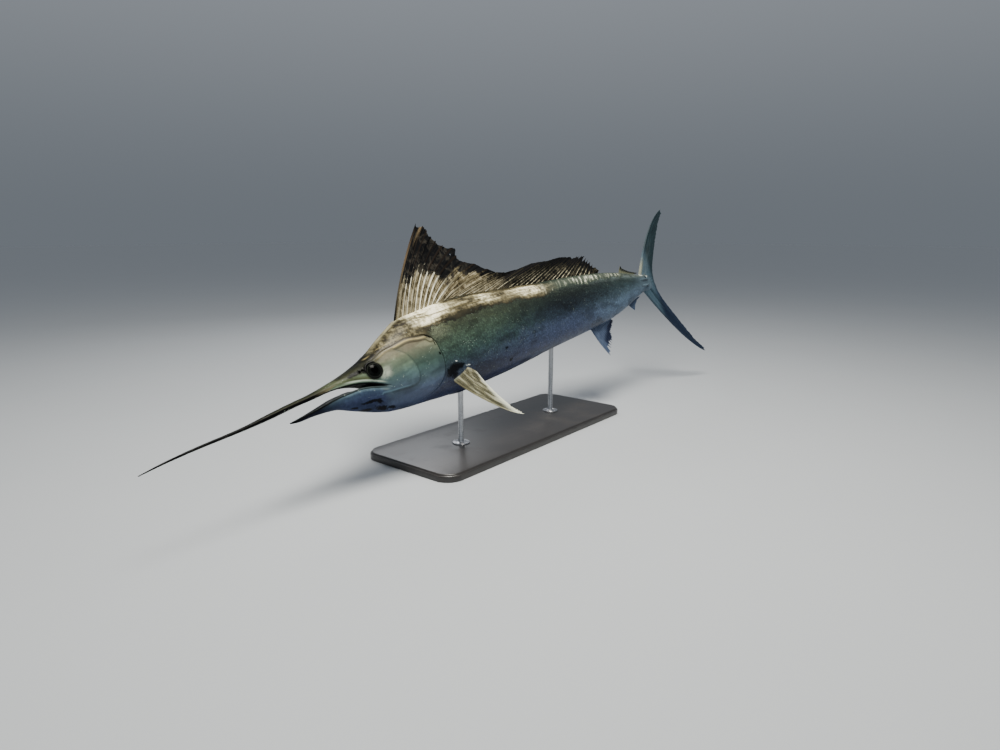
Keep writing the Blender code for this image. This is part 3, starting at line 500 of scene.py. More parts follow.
def upper_section(place):
    """Oval of the upper jaw and the angle on it where the lip is."""
    top, lip, half_width, widest, degrees = (curve(UPPER_JAW, place, c) for c in range(1, 6))
    share = np.clip((place - LIP_BLEND_START) / (MOUTH_CORNER - LIP_BLEND_START), 0, 1)
    angle = np.radians(degrees) * (1 - share) + CORNER_ANGLE * share
    bottom = widest - (widest - lip) / np.abs(np.cos(angle)) ** (2 / BELLY_POWER)
    return (top, bottom, half_width, widest), angle


def lower_section(place):
    """Oval of the lower jaw and the angle on it where the lip is."""
    lip, bottom, half_width, rise = (curve(LOWER_JAW, place, c) for c in range(1, 5))
    widest = lip + rise
    angle = math.acos(-max(0.0, rise / (widest - bottom)) ** (BELLY_POWER / 2))
    return (widest, bottom, half_width, widest), angle


def flank(place, height):
    """Half width of the head or body at a height in side view."""
    place, height = np.asarray(place, float), np.asarray(height, float)
    head, _ = upper_section(place)
    body = body_section(place)
    top, bottom, half_width, widest = (np.where(place < MOUTH_CORNER, h, b) for h, b in zip(head, body))
    above = height > widest
    reach = np.where(above, top - widest, widest - bottom)
    power = np.where(above, BACK_POWER, BELLY_POWER)
    part = np.clip(np.abs(height - widest) / reach, 0, 1)
    return half_width * (1 - part ** power) ** (1 / power)


print("head is", round(2 * flank(13.7, 0.88) * PERCENT * 1000), "mm wide at the eyes")

# %% [markdown]
# The skin is one mesh of rings. Behind the corner of the mouth each ring goes all the
# way round. In front of it there are two sets: over the top from lip to lip and back
# along the roof of the mouth, and under the jaw from lip to lip and back along its
# floor. Both sets end on one crease at the corner, so the mouth is a real opening in
# one closed skin. Rings lie close together on the head and at the root of the tail,
# where there is more to show, and further apart on the plain flank.

# %% Rings of the skin
RING = 160
HALF = RING // 2
LIP_INDEX = 50
STRIP = 22
RING_SPACING = ((-18.5, 0.30), (2.0, 0.15), (27.0, 0.50), (92.0, 0.14), (BODY_TAIL, 0.0))


def ring_places():
    """Places of all rings, from the tip of the bill to the root of the tail."""
    places = []
    for (start, gap), (end, _) in zip(RING_SPACING, RING_SPACING[1:]):
        count = round((end - start) / gap)
        places += [start + (end - start) * i / count for i in range(count)]
    return places + [BODY_TAIL]


def swollen(points, distance):
    """Section points moved out by the swell of the lip, an angle away from its edge."""
    place = points[0][0]
    part = (place - LIP_BULGE_START) / (MOUTH_CORNER - LIP_BULGE_START)
    if not 0 < part < 1:
        return points
    swell = LIP_BULGE * math.sin(math.pi * part) * hill(distance - LIP_BULGE_ANGLE, LIP_BULGE_ANGLE)
    points[:, 1] += np.sign(points[:, 1]) * swell
    return points


def section_points(place, section, angles):
    side, height = oval(section, angles)
    return np.column_stack((np.full(len(angles), place), side, height))


def strip_points(place, left_lip, arch):
    """Points across the mouth between the two lips."""
    across = 1 - 2 * np.arange(1, STRIP) / STRIP
    return np.column_stack((np.full(STRIP - 1, place), left_lip[1] * across,
                            left_lip[2] + arch * (1 - across * across)))


def full_ring(place):
    index = np.arange(RING)
    turn = np.where(index <= HALF, index, index - RING)
    size = np.abs(turn)
    angle = np.where(size <= LIP_INDEX, CORNER_ANGLE * size / LIP_INDEX,
                     CORNER_ANGLE + (math.pi - CORNER_ANGLE) * (size - LIP_INDEX) / (HALF - LIP_INDEX))
    return section_points(place, body_section(place), np.sign(turn) * angle), size / HALF


def upper_ring(place):
    section, lip_angle = upper_section(place)
    index = np.arange(-LIP_INDEX, LIP_INDEX + 1)
    angle = lip_angle * index / LIP_INDEX
    arc = swollen(section_points(place, section, angle), lip_angle - np.abs(angle))
    roof = strip_points(place, arc[-1], curve(UPPER_JAW, place, 6))
    girth = np.concatenate((np.abs(index) / HALF, np.full(STRIP - 1, LIP_INDEX / HALF)))
    return np.vstack((arc, roof)), girth


def lower_ring(place):
    section, lip_angle = lower_section(place)
    index = np.arange(LIP_INDEX, RING - LIP_INDEX + 1)
    part = (index - HALF) / (HALF - LIP_INDEX)
    angle = math.pi + (math.pi - lip_angle) * part
    arc = swollen(section_points(place, section, angle), (math.pi - lip_angle) * (1 - np.abs(part)))
    floor = strip_points(place, arc[0], -curve(LOWER_JAW, place, 5))[::-1]
    girth = 1 - np.abs(part) * (1 - LIP_INDEX / HALF)
    return np.vstack((arc, floor)), np.concatenate((girth, np.full(STRIP - 1, LIP_INDEX / HALF)))


def bridge(bm, rings):
    """Faces between each ring of points and the next."""
    for first, second in zip(rings, rings[1:]):
        for i in range(len(first)):
            k = (i + 1) % len(first)
            bm.faces.new((first[i], first[k], second[k], second[i]))


def finished_mesh(bm, name):
    """Closes the work on a mesh: faces outward, then out of the editor."""
    bmesh.ops.recalc_face_normals(bm, faces=bm.faces)
    mesh = bpy.data.meshes.new(name)
    bm.to_mesh(mesh)
    bm.free()
    return mesh


class SkinBuilder:
    """Collects points, what each carries, and faces of the skin."""

    def __init__(self):
        self.bm = bmesh.new()
        self.girth = self.bm.verts.layers.float.new("girth")
        self.lining = self.bm.verts.layers.float.new("lining")

    def add(self, points, girth, lining):
        verts = []
        for point, around, inner in zip(points, girth, lining):
            vert = self.bm.verts.new(point)
            vert[self.girth], vert[self.lining] = around, inner
            verts.append(vert)
        return verts

    def cap(self, ring):
        middle = sum((vert.co for vert in ring), Vector()) / len(ring)
        centre = self.add([middle], [ring[0][self.girth]], [0.0])[0]
        for a, b in zip(ring, ring[1:] + ring[:1]):
            self.bm.faces.new((a, b, centre))


def lined(count):
    """Marks the last points of a ring as the lining of the mouth."""
    return [0.0] * (count - (STRIP - 1)) + [1.0] * (STRIP - 1)


def build_skin_grid():
    """Closed skin in percents of the straight fish, without its relief."""
    skin = SkinBuilder()
    places = ring_places()
    rear = []
    for place in [MOUTH_CORNER] + [p for p in places if p > MOUTH_CORNER]:
        points, girth = full_ring(place)
        rear.append(skin.add(points, girth, [0.0] * RING))
    bridge(skin.bm, rear)
    skin.cap(rear[-1])
    corner = rear[0]
    left_lip = corner[LIP_INDEX].co
    crease = skin.add(strip_points(MOUTH_CORNER, left_lip, 0.0), [LIP_INDEX / HALF] * (STRIP - 1),
                      [1.0] * (STRIP - 1))
    upper = []
    for place in (p for p in places if p < MOUTH_CORNER):
        points, girth = upper_ring(place)
        upper.append(skin.add(points, girth, lined(len(points))))
    upper.append([corner[i % RING] for i in range(-LIP_INDEX, LIP_INDEX + 1)] + crease)
    bridge(skin.bm, upper)
    skin.cap(upper[0])
    lower = []
    for place in (p for p in places if 0 <= p < MOUTH_CORNER):
        points, girth = lower_ring(place)
        lower.append(skin.add(points, girth, lined(len(points))))
    lower.append(corner[LIP_INDEX:RING - LIP_INDEX + 1] + crease[::-1])
    bridge(skin.bm, lower)
    skin.cap(lower[0])
    return skin.bm


skin_bm = build_skin_grid()
print("skin grid:", len(skin_bm.verts), "points,", len(skin_bm.faces), "faces")

# %% [markdown]
# The head's detail is relief: small rises and hollows of the skin that follow the
# bones below. On the real fish the gill cover is a thin bony plate whose rear edge
# stands free over a slit, the cheek plate in front of it has a raised rim, a fold runs
# from above the eye to the top of the gill cover, and the eye sits in a firm ring.
# Each is a short path in side view. The distance of every skin point from a path
# tells how far it moves out or in, and the same distance later steers the colours,
# so paint and form can't drift apart.

# %% Paths on the head and the flank
EYE_PLACE = (13.7, 0.88)
NOSTRILS = ((11.75, 1.32), (12.25, 1.42))
FOLD_PATH = ((11.6, 1.75), (13.0, 2.12), (14.6, 2.42), (16.4, 3.05), (18.2, 3.30), (20.4, 3.62), (22.4, 3.38),
             (23.9, 3.12), (24.5, 2.60))
CHEEK_PATH = ((18.3, 2.4), (19.35, 1.45), (20.1, -0.10), (20.35, -1.2), (20.35, -2.1), (19.9, -2.9),
              (18.6, -3.15), (17.0, -3.00), (15.3, -2.90), (14.0, -2.75))
GILL_PATH = (
    (23.0, 3.45), (24.5, 2.75), (25.15, 1.70), (25.35, 0.4), (25.50, -1.2), (25.15, -2.90), (24.40, -4.1),
    (23.0, -4.95), (21.40, -5.45), (19.2, -5.74), (16.6, -5.45),
)
GROOVE_PATH = (
    (21.4, 6.75), (22.8, 6.60), (25.4, 6.22), (27.9, 6.04), (31.1, 6.08), (34.4, 5.95), (37.7, 5.76),
    (44.0, 5.42), (50.0, 4.95), (58.0, 4.45), (68.0, 4.0), (78.0, 3.5), (90.0, 2.3),
)
LINE_PATH = ((25.2, 2.7), (28.0, 3.1), (31.0, 2.7), (34.0, 1.6), (38.0, 0.7), (46.0, 0.35), (60.0, 0.2),
             (80.0, 0.1), (93.0, 0.0))
PECTORAL_PATH = ((26.6, -4.35), (28.2, -4.0), (29.9, -3.55))
PATH_STEPS = 10


def flow(path):
    """Points on a smooth curve through a path's corners."""
    knots = [(i, *corner) for i, corner in enumerate(path)]
    steps = np.linspace(0, len(path) - 1, PATH_STEPS * (len(path) - 1) + 1)
    return np.column_stack((curve(knots, steps, 1), curve(knots, steps, 2)))


def gap_to(points, path):
    """Signed distance from a path in side view, and how far along it the nearest spot is.
    The distance is positive to the left of a path's run, as seen with Z up and X to the right."""
    line = flow(path)
    best = np.full(len(points), np.inf)
    sign = np.ones(len(points))
    along = np.zeros(len(points))
    for index, (start, end) in enumerate(zip(line, line[1:])):
        run = end - start
        offset = points - start
        part = np.clip(offset @ run / (run @ run), 0, 1)
        away = np.hypot(*(offset - part[:, None] * run).T)
        closer = away < best
        best = np.where(closer, away, best)
        sign = np.where(closer, np.where(run[0] * offset[:, 1] - run[1] * offset[:, 0] >= 0, 1.0, -1.0), sign)
        along = np.where(closer, (index + part) / (len(line) - 1), along)
    return sign * best, along


print("paths:", len(FOLD_PATH), len(CHEEK_PATH), len(GILL_PATH), "corners on the head")

# %% Refine the skin where the relief is fine
EYE_ZONE = 1.75
NOSTRIL_ZONE = 0.45
GILL_ZONE = 0.38


def near_detail(points):
    """True for points close to the eye, a nostril or the gill opening."""
    side_view = points[:, (0, 2)]
    close = np.hypot(*(side_view - EYE_PLACE).T) < EYE_ZONE
    for nostril in NOSTRILS:
        close |= np.hypot(*(side_view - nostril).T) < NOSTRIL_ZONE
    return close, np.abs(gap_to(side_view, GILL_PATH)[0]) < GILL_ZONE


def refine(bm, chosen):
    """Halves the edges of the faces whose middle is chosen."""
    edges = {edge for face, keep in zip(bm.faces, chosen) if keep for edge in face.edges}
    bmesh.ops.subdivide_edges(bm, edges=list(edges), cuts=1, use_grid_fill=True)


def face_middles(bm):
    lining = bm.verts.layers.float["lining"]
    middles = np.array([face.calc_center_median() for face in bm.faces])
    outer = np.array([all(vert[lining] == 0 for vert in face.verts) for face in bm.faces])
    return middles, outer


for passes in range(2):
    middles, outer = face_middles(skin_bm)
    by_eye, by_gill = near_detail(middles)
    refine(skin_bm, outer & (by_eye | by_gill))
bmesh.ops.triangulate(skin_bm, faces=[face for face in skin_bm.faces if len(face.verts) > 4])
skin_bm.normal_update()
print("refined skin:", len(skin_bm.verts), "points")

# %% Relief of the skin
RIM_RADIUS = 1.17
RIM_HEIGHT = 0.10
RIM_WIDTH = 0.13
SOCKET_RADIUS = 1.06
SOCKET_DEPTH = 0.70
GILL_RAISE = 0.13
GILL_SLIT = 0.20
GILL_SLIT_WIDTH = 0.085
CHEEK_RAISE = 0.07
FOLD_RISE = 0.13
NOSTRIL_DEPTH = 0.20
NOSTRIL_RADIUS = 0.13
SAIL_START, SAIL_END = 21.5, 78.5
KEEL_ENDS = (92.4, 96.9)
KEEL_HEIGHTS = (0.68, -0.68)
KEEL_HALF_HEIGHT = 0.15
KEEL_RISE = 0.42
LINE_DEPTH, LINE_WIDTH = 0.014, 0.14

# Start, end, distance from the middle, depth and width
PELVIC_GROOVE = (27.0, 55.0, 0.12, 0.10, 0.16)

# Place, height, stretch along the fish, radius and rise of a swell and a hollow of the cheek
SWELLS = ((17.0, -1.6, 1.0, 1.7, 0.14), (16.6, 1.9, 1.6, 0.8, -0.10))


def eye_relief(distance):
    """Ring around the eye, with the socket inside it."""
    socket = -SOCKET_DEPTH * smoothstep(SOCKET_RADIUS, SOCKET_RADIUS - 0.14, distance)
    brow = 0.05 * hill(distance - 1.6, 0.35)
    return RIM_HEIGHT * hill(distance - RIM_RADIUS, RIM_WIDTH) + socket - brow


def gill_relief(gap, along):
    """Free rear edge of the gill cover, standing over a slit."""
    ends = smoothstep(0.0, 0.06, along) * smoothstep(1.0, 0.8, along)
    ends *= 0.35 + 0.65 * smoothstep(0.75, 0.4, along)
    plate = GILL_RAISE * smoothstep(-4.5, -0.1, gap) * smoothstep(0.10, 0.0, gap)
    slit = GILL_SLIT * hill(gap - 0.13, GILL_SLIT_WIDTH)
    shoulder = 0.05 * hill(gap - 0.75, 0.35) * (gap > 0)
    return ends * (plate - slit + shoulder)


def cheek_relief(gap, along):
    """Raised rim of the cheek plate."""
    ends = smoothstep(0.0, 0.12, along) * smoothstep(1.0, 0.85, along)
    return ends * (CHEEK_RAISE * smoothstep(-1.8, -0.05, gap) * smoothstep(0.12, -0.02, gap)
                   - 0.035 * hill(gap - 0.14, 0.09))


def back_relief(place, side, groove):
    """Ridge beside the sail's root, and a groove and a swell below it."""
    away = np.abs(side)
    length = smoothstep(SAIL_START - 1.5, SAIL_START + 1, place) * smoothstep(SAIL_END + 9, SAIL_END, place)
    ridge = 0.10 * hill(away - 0.42, 0.20) - 0.12 * hill(away, 0.16)
    fades = smoothstep(21.4, 23.0, place) * smoothstep(56.0, 38.0, place)
    return length * ridge + fades * (0.05 * hill(groove + 0.55, 0.35) - 0.10 * hill(groove, 0.13))


def keel_relief(place, height):
    """Two keels on each side of the root of the tail."""
    part = np.clip((place - KEEL_ENDS[0]) / (KEEL_ENDS[1] - KEEL_ENDS[0]), 0, 1)
    rise = sum(hill(height - middle, KEEL_HALF_HEIGHT) for middle in KEEL_HEIGHTS)
    return KEEL_RISE * np.sin(math.pi * part) * rise


def pectoral_relief(gap, along):
    """Low mound around the root of the pectoral fin."""
    return 0.10 * hill(gap, 0.55)


def skin_relief(points, gaps):
    """How far each skin point moves out along its normal, in percents."""
    place, side, height = points.T
    rise = eye_relief(gaps["eye"])
    rise += gill_relief(*gaps["gill"]) + cheek_relief(*gaps["cheek"]) + pectoral_relief(*gaps["pectoral"])
    fold, along = gaps["fold"]
    ends = smoothstep(0.0, 0.25, along) * smoothstep(1.0, 0.93, along)
    rise += ends * (FOLD_RISE * hill(fold + 0.20, 0.20) - 0.05 * hill(fold - 0.06, 0.10))
    for nostril in NOSTRILS:
        distance = np.hypot(place - nostril[0], height - nostril[1])
        rise += 0.03 * hill(distance - 0.22, 0.08) - NOSTRIL_DEPTH * hill(distance, NOSTRIL_RADIUS)
    rise += back_relief(place, side, gaps["groove"][0]) * (height > 0) + keel_relief(place, height)
    for x, z, stretch, radius, swell in SWELLS:
        rise += swell * hill(np.hypot((place - x) / stretch, height - z), radius)
    start, end, away, depth, width = PELVIC_GROOVE
    belly = smoothstep(start, start + 2, place) * smoothstep(end, end - 6, place) * (height < -3)
    rise -= depth * belly * hill(np.abs(side) - away, width)
    line_ends = smoothstep(25.3, 27.0, place) * smoothstep(90.0, 80.0, place)
    rise -= LINE_DEPTH * hill(gaps["line"][0], LINE_WIDTH) * line_ends
    return rise


def measure_gaps(points):
    """Distances that steer relief and colour, read in side view."""
    side_view = points[:, (0, 2)]
    gaps = {"eye": np.hypot(*(side_view - EYE_PLACE).T)}
    for name, path in (("gill", GILL_PATH), ("cheek", CHEEK_PATH), ("fold", FOLD_PATH),
                       ("pectoral", PECTORAL_PATH), ("line", LINE_PATH), ("groove", GROOVE_PATH)):
        gaps[name] = gap_to(side_view, path)
    return gaps


skin_points = np.array([vert.co for vert in skin_bm.verts])
skin_normals = np.array([vert.normal for vert in skin_bm.verts])
lining_layer = skin_bm.verts.layers.float["lining"]
girth_layer = skin_bm.verts.layers.float["girth"]
skin_lining = np.array([vert[lining_layer] for vert in skin_bm.verts])
skin_girth = np.array([vert[girth_layer] for vert in skin_bm.verts])
skin_gaps = measure_gaps(skin_points)
skin_rise = skin_relief(skin_points, skin_gaps) * (skin_lining == 0)
if np.sum(skin_normals[:, 1] * skin_points[:, 1]) < 0:
    skin_normals = -skin_normals
print("relief from", skin_rise.min().round(2), "to", skin_rise.max().round(2), "percent")

# %% [markdown]
# Colours follow the same distances, so each skin point carries them as attributes:
# its place on the straight fish, how far round the body it is, how far above the
# border of the bronze back, and the gaps to eye, gill opening, cheek rim and fold.
# Dark spots, partly real marks and partly painted shade such as the blotches under
# the throat where the gill covers open, are soft discs laid down in a loop and carried
# as one more number, and painted glints the same way.

# %% What the skin carries
BORDER_PATH = (
    (15.0, 2.5), (20.0, 3.2), (24.0, 3.3), (26.7, 3.60), (29.9, 3.80), (33.6, 3.92), (37.4, 3.90),
    (41.5, 3.90), (45.7, 3.90), (50.0, 3.45), (54.1, 2.90), (60.0, 2.85), (65.0, 3.10), (70.0, 2.75),
    (78.0, 2.65), (86.0, 2.35), (92.0, 1.6), (98.4, 1.2),
)

# Share of painted light from the sail's root down the back, by place along the fish
BACK_LIGHT = (
    (19.0, 0.62), (21.0, 0.80), (22.5, 1.05), (25.0, 1.14), (27.0, 1.30), (29.5, 1.18), (31.5, 0.74),
    (33.0, 0.52), (36.0, 0.50), (38.0, 0.62), (40.5, 0.92), (43.0, 0.60), (46.0, 0.40), (48.0, 0.52),
    (50.0, 0.86), (52.0, 1.24), (55.0, 1.02), (57.5, 0.58), (60.0, 0.40), (63.0, 0.50), (67.0, 0.72),
    (72.0, 0.70), (77.0, 0.66), (83.0, 0.52), (92.0, 0.60),
)

# Dark spots: some are real marks, and some are painted shade, the black under the throat where the gill
# covers open and at the root of the pectoral fin.
# Place, height, half length, half width and tilt in degrees
DARK_SPOTS_AND_SHADE = (
    (12.0, -3.10, 1.25, 0.20, -5), (13.2, -3.50, 0.50, 0.24, -30), (11.3, -4.02, 0.80, 0.20, -12),
    (13.6, -4.55, 1.05, 0.30, -22), (15.1, -4.95, 0.70, 0.22, -22), (9.6, -3.15, 0.5, 0.10, -15),
    (40.23, -3.36, 0.36, 0.26, 20), (41.2, -5.57, 0.50, 0.26, 15), (26.4, -3.45, 0.85, 0.78, 0),
    (27.3, -3.10, 1.05, 0.72, 0), (28.4, -3.10, 0.85, 0.45, -20), (29.2, -3.0, 0.5, 0.22, -15),
    (27.0, -4.05, 0.7, 0.5, 0), (25.15, -0.15, 0.22, 0.22, 0), (24.1, 2.95, 0.62, 0.17, -32),
    (24.9, 1.6, 0.10, 0.4, 0), (11.2, 1.30, 1.5, 0.22, 8), (12.6, 1.30, 0.5, 0.45, 10),
    (95.9, 1.2, 0.36, 0.26, 0),
)
# Painted glints: small white spots of light at the root of the pectoral fin and the root of the tail.
PAINTED_GLINTS = (
    (27.0, -2.28, 0.24, 0.08, 0), (29.75, -3.35, 0.28, 0.16, -30), (30.2, -2.9, 0.20, 0.10, 0),
    (30.6, -3.5, 0.20, 0.10, 0), (94.4, 2.0, 0.7, 0.35, -10), (96.7, 1.35, 0.28, 0.28, 0),
    (28.2, -2.15, 0.30, 0.07, 10),
)


def marks(points, rows):
    """Cones of height 1 on ovals in side view, which the shader cuts at a rough level."""
    total = np.zeros(len(points))
    for place, height, length, width, tilt in rows:
        turn = np.radians(tilt)
        along, up = points[:, 0] - place, points[:, 2] - height
        oval_distance = np.hypot((along * np.cos(turn) + up * np.sin(turn)) / length,
                                 (up * np.cos(turn) - along * np.sin(turn)) / width)
        total = np.maximum(total, 1 - oval_distance / 2)
    return total


def carry(mesh, name, values):
    """Stores one number, or one vector, at each point of a mesh."""
    values = np.asarray(values, np.float32)
    kind, field = ("FLOAT", "value") if values.ndim == 1 else ("FLOAT_VECTOR", "vector")
    mesh.attributes.new(name, kind, "POINT").data.foreach_set(field, values.ravel())


def place_object(name, mesh, material, slot, *nodes):
    """Links a finished piece, which rides on the one body and stands for its nodes."""
    mesh.materials.clear()
    mesh.materials.append(material)
    mesh.shade_smooth()
    piece = new_object(name, mesh)
    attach(piece, "root")
    if nodes:
        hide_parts(*nodes)
    return piece


lip_upper = skin_points[:, 2] - curve(UPPER_JAW, skin_points[:, 0], 2)
lip_lower = curve(LOWER_JAW, skin_points[:, 0], 1) - skin_points[:, 2]
on_lower = (skin_girth > LIP_INDEX / HALF) & (skin_points[:, 0] < MOUTH_CORNER)
lip_gap = np.where(on_lower, lip_lower, lip_upper)
final_points = to_world(skin_points + skin_normals * skin_rise[:, None])
for vert, point in zip(skin_bm.verts, final_points):
    vert.co = point
skin_bm.normal_update()
skin_mesh = finished_mesh(skin_bm, "sailfish_skin")
for name, values in (
        ("fish", skin_points * PERCENT), ("eye_gap", skin_gaps["eye"]), ("lip_gap", lip_gap),
        ("border", skin_points[:, 2] - curve(BORDER_PATH, skin_points[:, 0], 1)),
        ("jaw", on_lower * smoothstep(MOUTH_CORNER, JAW_BLEND_START, skin_points[:, 0])),
        ("dark", marks(skin_points, DARK_SPOTS_AND_SHADE)), ("pale", marks(skin_points, PAINTED_GLINTS)),
        ("back_light", straight(BACK_LIGHT, skin_points[:, 0], 1))):
    carry(skin_mesh, name, values)
for name in ("gill", "cheek", "fold", "groove"):
    carry(skin_mesh, name + "_gap", skin_gaps[name][0])
    carry(skin_mesh, name + "_along", skin_gaps[name][1])
print("skin:", len(skin_mesh.polygons), "faces,", len(skin_mesh.attributes), "attributes")

# %% [markdown]
# The skin's colours run in bands: a bronze back with cream light along the sail's
# root, which is painted light, an olive green flank that turns teal, and a slate blue
# belly that is partly painted shade. The head is pale cream behind the eye, a painted
# highlight, tan above the gill cover, dark on the snout and along the bill, and black
# inside the mouth, which is painted shade. Each band or mark is one layer: a colour
# laid over the last with its own mask. A low roughness and a very thin coat give a
# satin shine.

# %% Colours of the skin
BLACK = (7, 7, 8)
PALE = (222, 228, 220)
HIGHLIGHT_GOLD = (176, 160, 112)
BILL_DARK = (10, 10, 10)

# The slate blue at the belly end of FLANK_RAMP, REAR_RAMP and ROOT_RAMP, and at the low end of CHEEK_RAMP and
# COVER_RAMP, is partly the fish's own blue and partly painted shade.
# Stops of the ramps: the level, then red, green and blue as on a screen
BACK_RAMP = ((0.02, 24, 24, 16), (0.18, 51, 47, 33), (0.34, 96, 89, 67), (0.52, 148, 141, 111),
             (0.72, 208, 200, 162), (0.96, 254, 246, 216))
FLANK_RAMP = ((0.25, 40, 44, 30), (0.36, 45, 53, 37), (0.45, 48, 67, 53), (0.55, 39, 60, 57),
              (0.65, 36, 52, 68), (0.75, 25, 36, 70), (1.0, 29, 41, 80))
REAR_RAMP = ((0.25, 38, 46, 38), (0.36, 27, 37, 30), (0.45, 19, 29, 35), (0.55, 26, 41, 55),
             (0.64, 40, 55, 85), (0.74, 39, 54, 89), (1.0, 42, 57, 93))
ROOT_RAMP = ((0.22, 84, 96, 94), (0.34, 35, 51, 49), (0.46, 33, 52, 58), (0.56, 49, 71, 85),
             (0.66, 65, 91, 117), (1.0, 62, 88, 120))
CHEEK_RAMP = ((0.0, 43, 62, 98), (0.14, 54, 72, 98), (0.25, 58, 77, 95), (0.40, 59, 81, 88),
              (0.52, 62, 85, 82), (0.64, 80, 99, 82), (0.78, 86, 96, 72), (0.90, 104, 101, 74),
              (1.0, 106, 99, 72))
COVER_RAMP = ((0.0, 52, 70, 104), (0.14, 52, 69, 94), (0.26, 53, 71, 82), (0.40, 50, 70, 73),
              (0.52, 48, 69, 64), (0.64, 56, 74, 63), (0.74, 76, 86, 68), (0.86, 94, 96, 74),
              (1.0, 90, 84, 60))
CROWN_RAMP = ((0.38, 34, 30, 20), (0.50, 68, 63, 45), (0.64, 118, 111, 86))
JAW_RAMP = ((0.0, 112, 134, 136), (0.14, 92, 112, 122), (0.30, 64, 78, 98), (0.6, 54, 63, 88),
            (1.0, 48, 57, 82))
HEAD_LEVELS = (-5.0 * PERCENT, 3.0 * PERCENT)


def fish_place(shader):
    """Place on the straight fish: the vector, and its parts along, side and up."""
    fish = shader.carried("fish", "Vector")
    parts = shader.add("ShaderNodeSeparateXYZ", {0: fish}).outputs
    return [fish] + [Value(shader, part) for part in parts]


print("colour ramps:", len(BACK_RAMP), len(FLANK_RAMP), len(REAR_RAMP), len(CHEEK_RAMP), "stops")

# %% Skin material
skin_material, shader = new_material("sailfish_skin", coat_roughness=0.2)
fish, along, side, up = fish_place(shader)
grain = shader.group(GRAIN, Place=fish, Size=1.0)
mottle = grain["Mottle"]
wander = mottle - 0.5
long_blotch = fish.noise(27.0, 3.0, 0.55, 0.3, (0.42, 1.0, 1.0))
patchy = fish.noise(34.0, 2.0, 0.5, stretch=(0.3, 1.0, 1.0))
fine = fish.noise(190.0, 2.0, 0.6)
specks = fish.noise(420.0, 2.0, 0.7, stretch=(0.6, 1.0, 1.0))
grit = fish.noise(105.0, 3.0, 0.65).span(0.36, 0.64)
brushed = fish.noise(130.0, 3.0, 0.6, stretch=(0.08, 1.0, 1.0)).span(0.36, 0.64)
girth = shader.carried("girth")

# %% Flank and belly
loose_girth = girth + wander * 0.09
rear = (along + wander * 0.20).part(32.0, 58.0)
# Slate blue towards the belly is partly painted shade.
colour = shader.mix(rear, loose_girth.ramp(*FLANK_RAMP), loose_girth.ramp(*REAR_RAMP))
colour = colour.lay(loose_girth.ramp(*ROOT_RAMP), along.part(60.0, 84.0))
shoulder = shader.carried("border").span(-2.6, -0.6) * along.part(24.4, 25.6) * along.part(30.5, 26.5)
colour = colour.lay((92, 98, 74), shoulder, 0.5)
band = girth.span(0.66, 0.46) * girth.span(0.24, 0.34) * along.part(50.0, 58.0) * along.part(86.0, 74.0)
colour = colour.lay((8, 12, 16), band, specks.span(0.42, 0.60))
colour = colour.dimmed(long_blotch.span(0.46, 0.66, 0.0, 0.75))
colour = colour.lifted(fine.span(0.42, 0.74, 0.0, 0.85))
colour = colour.dimmed(specks.span(0.50, 0.70, 0.0, 0.85))
body_end = along.part(88.0, 95.0) * girth.span(0.20, 0.36)
colour = colour.lay((66, 92, 106), body_end, 0.75)
colour = colour.dimmed(grit, 0.30).greyed(0.74, 1.04)

# %% Back lit from the sail's root
border = shader.carried("border") + wander * 0.9 + (long_blotch - 0.5) * 1.8 + (grit - 0.5) * 0.5
# The cream along the sail's root is painted light: rippling sunlight laid into the colour through back_light.
# root_shade is a stripe of painted shade beside the sail's root.
groove, back_light = shader.carried("groove_gap"), shader.carried("back_light")
root_shade = girth.span(0.15, 0.07) * along.part(30.0, 33.0) * along.span(0.40, 0.46, 0.45, 0.75)
kept = 1.0 - root_shade
low_groove = groove + along.part(30.5, 26.5) * 0.8
broken = (grit * 0.42 + 0.63) * (brushed * 0.40 + 0.63)
light = low_groove.span(-2.2, 0.1) * 1.02 * back_light * kept * broken + (long_blotch - 0.5) * 0.9
back = light.ramp(*BACK_RAMP)
slanted = shader.value("ShaderNodeCombineXYZ", {0: along - up * 0.9, 1: side * 0.3, 2: up * 0.25})
streaks = slanted.noise(75.0, 3.0, 0.6).span(0.44, 0.66)
grey_light = border.span(-0.1, 0.9) * back_light * (streaks + 0.35) * kept * (grit * 0.4 + 0.8)
grey_back = grey_light.ramp((0.0, 34, 44, 38), (0.35, 78, 84, 72), (0.7, 138, 142, 126), (1.0, 194, 196, 178))
back = back.lay(grey_back, along.part(54.0, 63.0))
colour = colour.lay(back, border.span(-0.16, 0.16), along.part(96.0, 88.0))
thin_line = border.near(-0.30, 0.17) * along.part(25.0, 27.0) * along.part(34.0, 27.0)
colour = colour.lay((86, 90, 66), thin_line, 0.5)
groove_line = groove.near(-0.18, 0.20) * along.part(21.8, 24.5) * along.part(44.0, 35.0)
colour = colour.lay((72, 64, 38), groove_line, 0.9)

# %% Sides and crown of the head
level = (up + wander * 0.02).span(*HEAD_LEVELS, kind="LINEAR")
cheek_gap, eye_gap = shader.carried("cheek_gap"), shader.carried("eye_gap")
# Head plates darken towards the bottom: partly painted shade.
plates = level.ramp(*COVER_RAMP).lay(level.ramp(*CHEEK_RAMP), cheek_gap.span(0.6, -0.5))
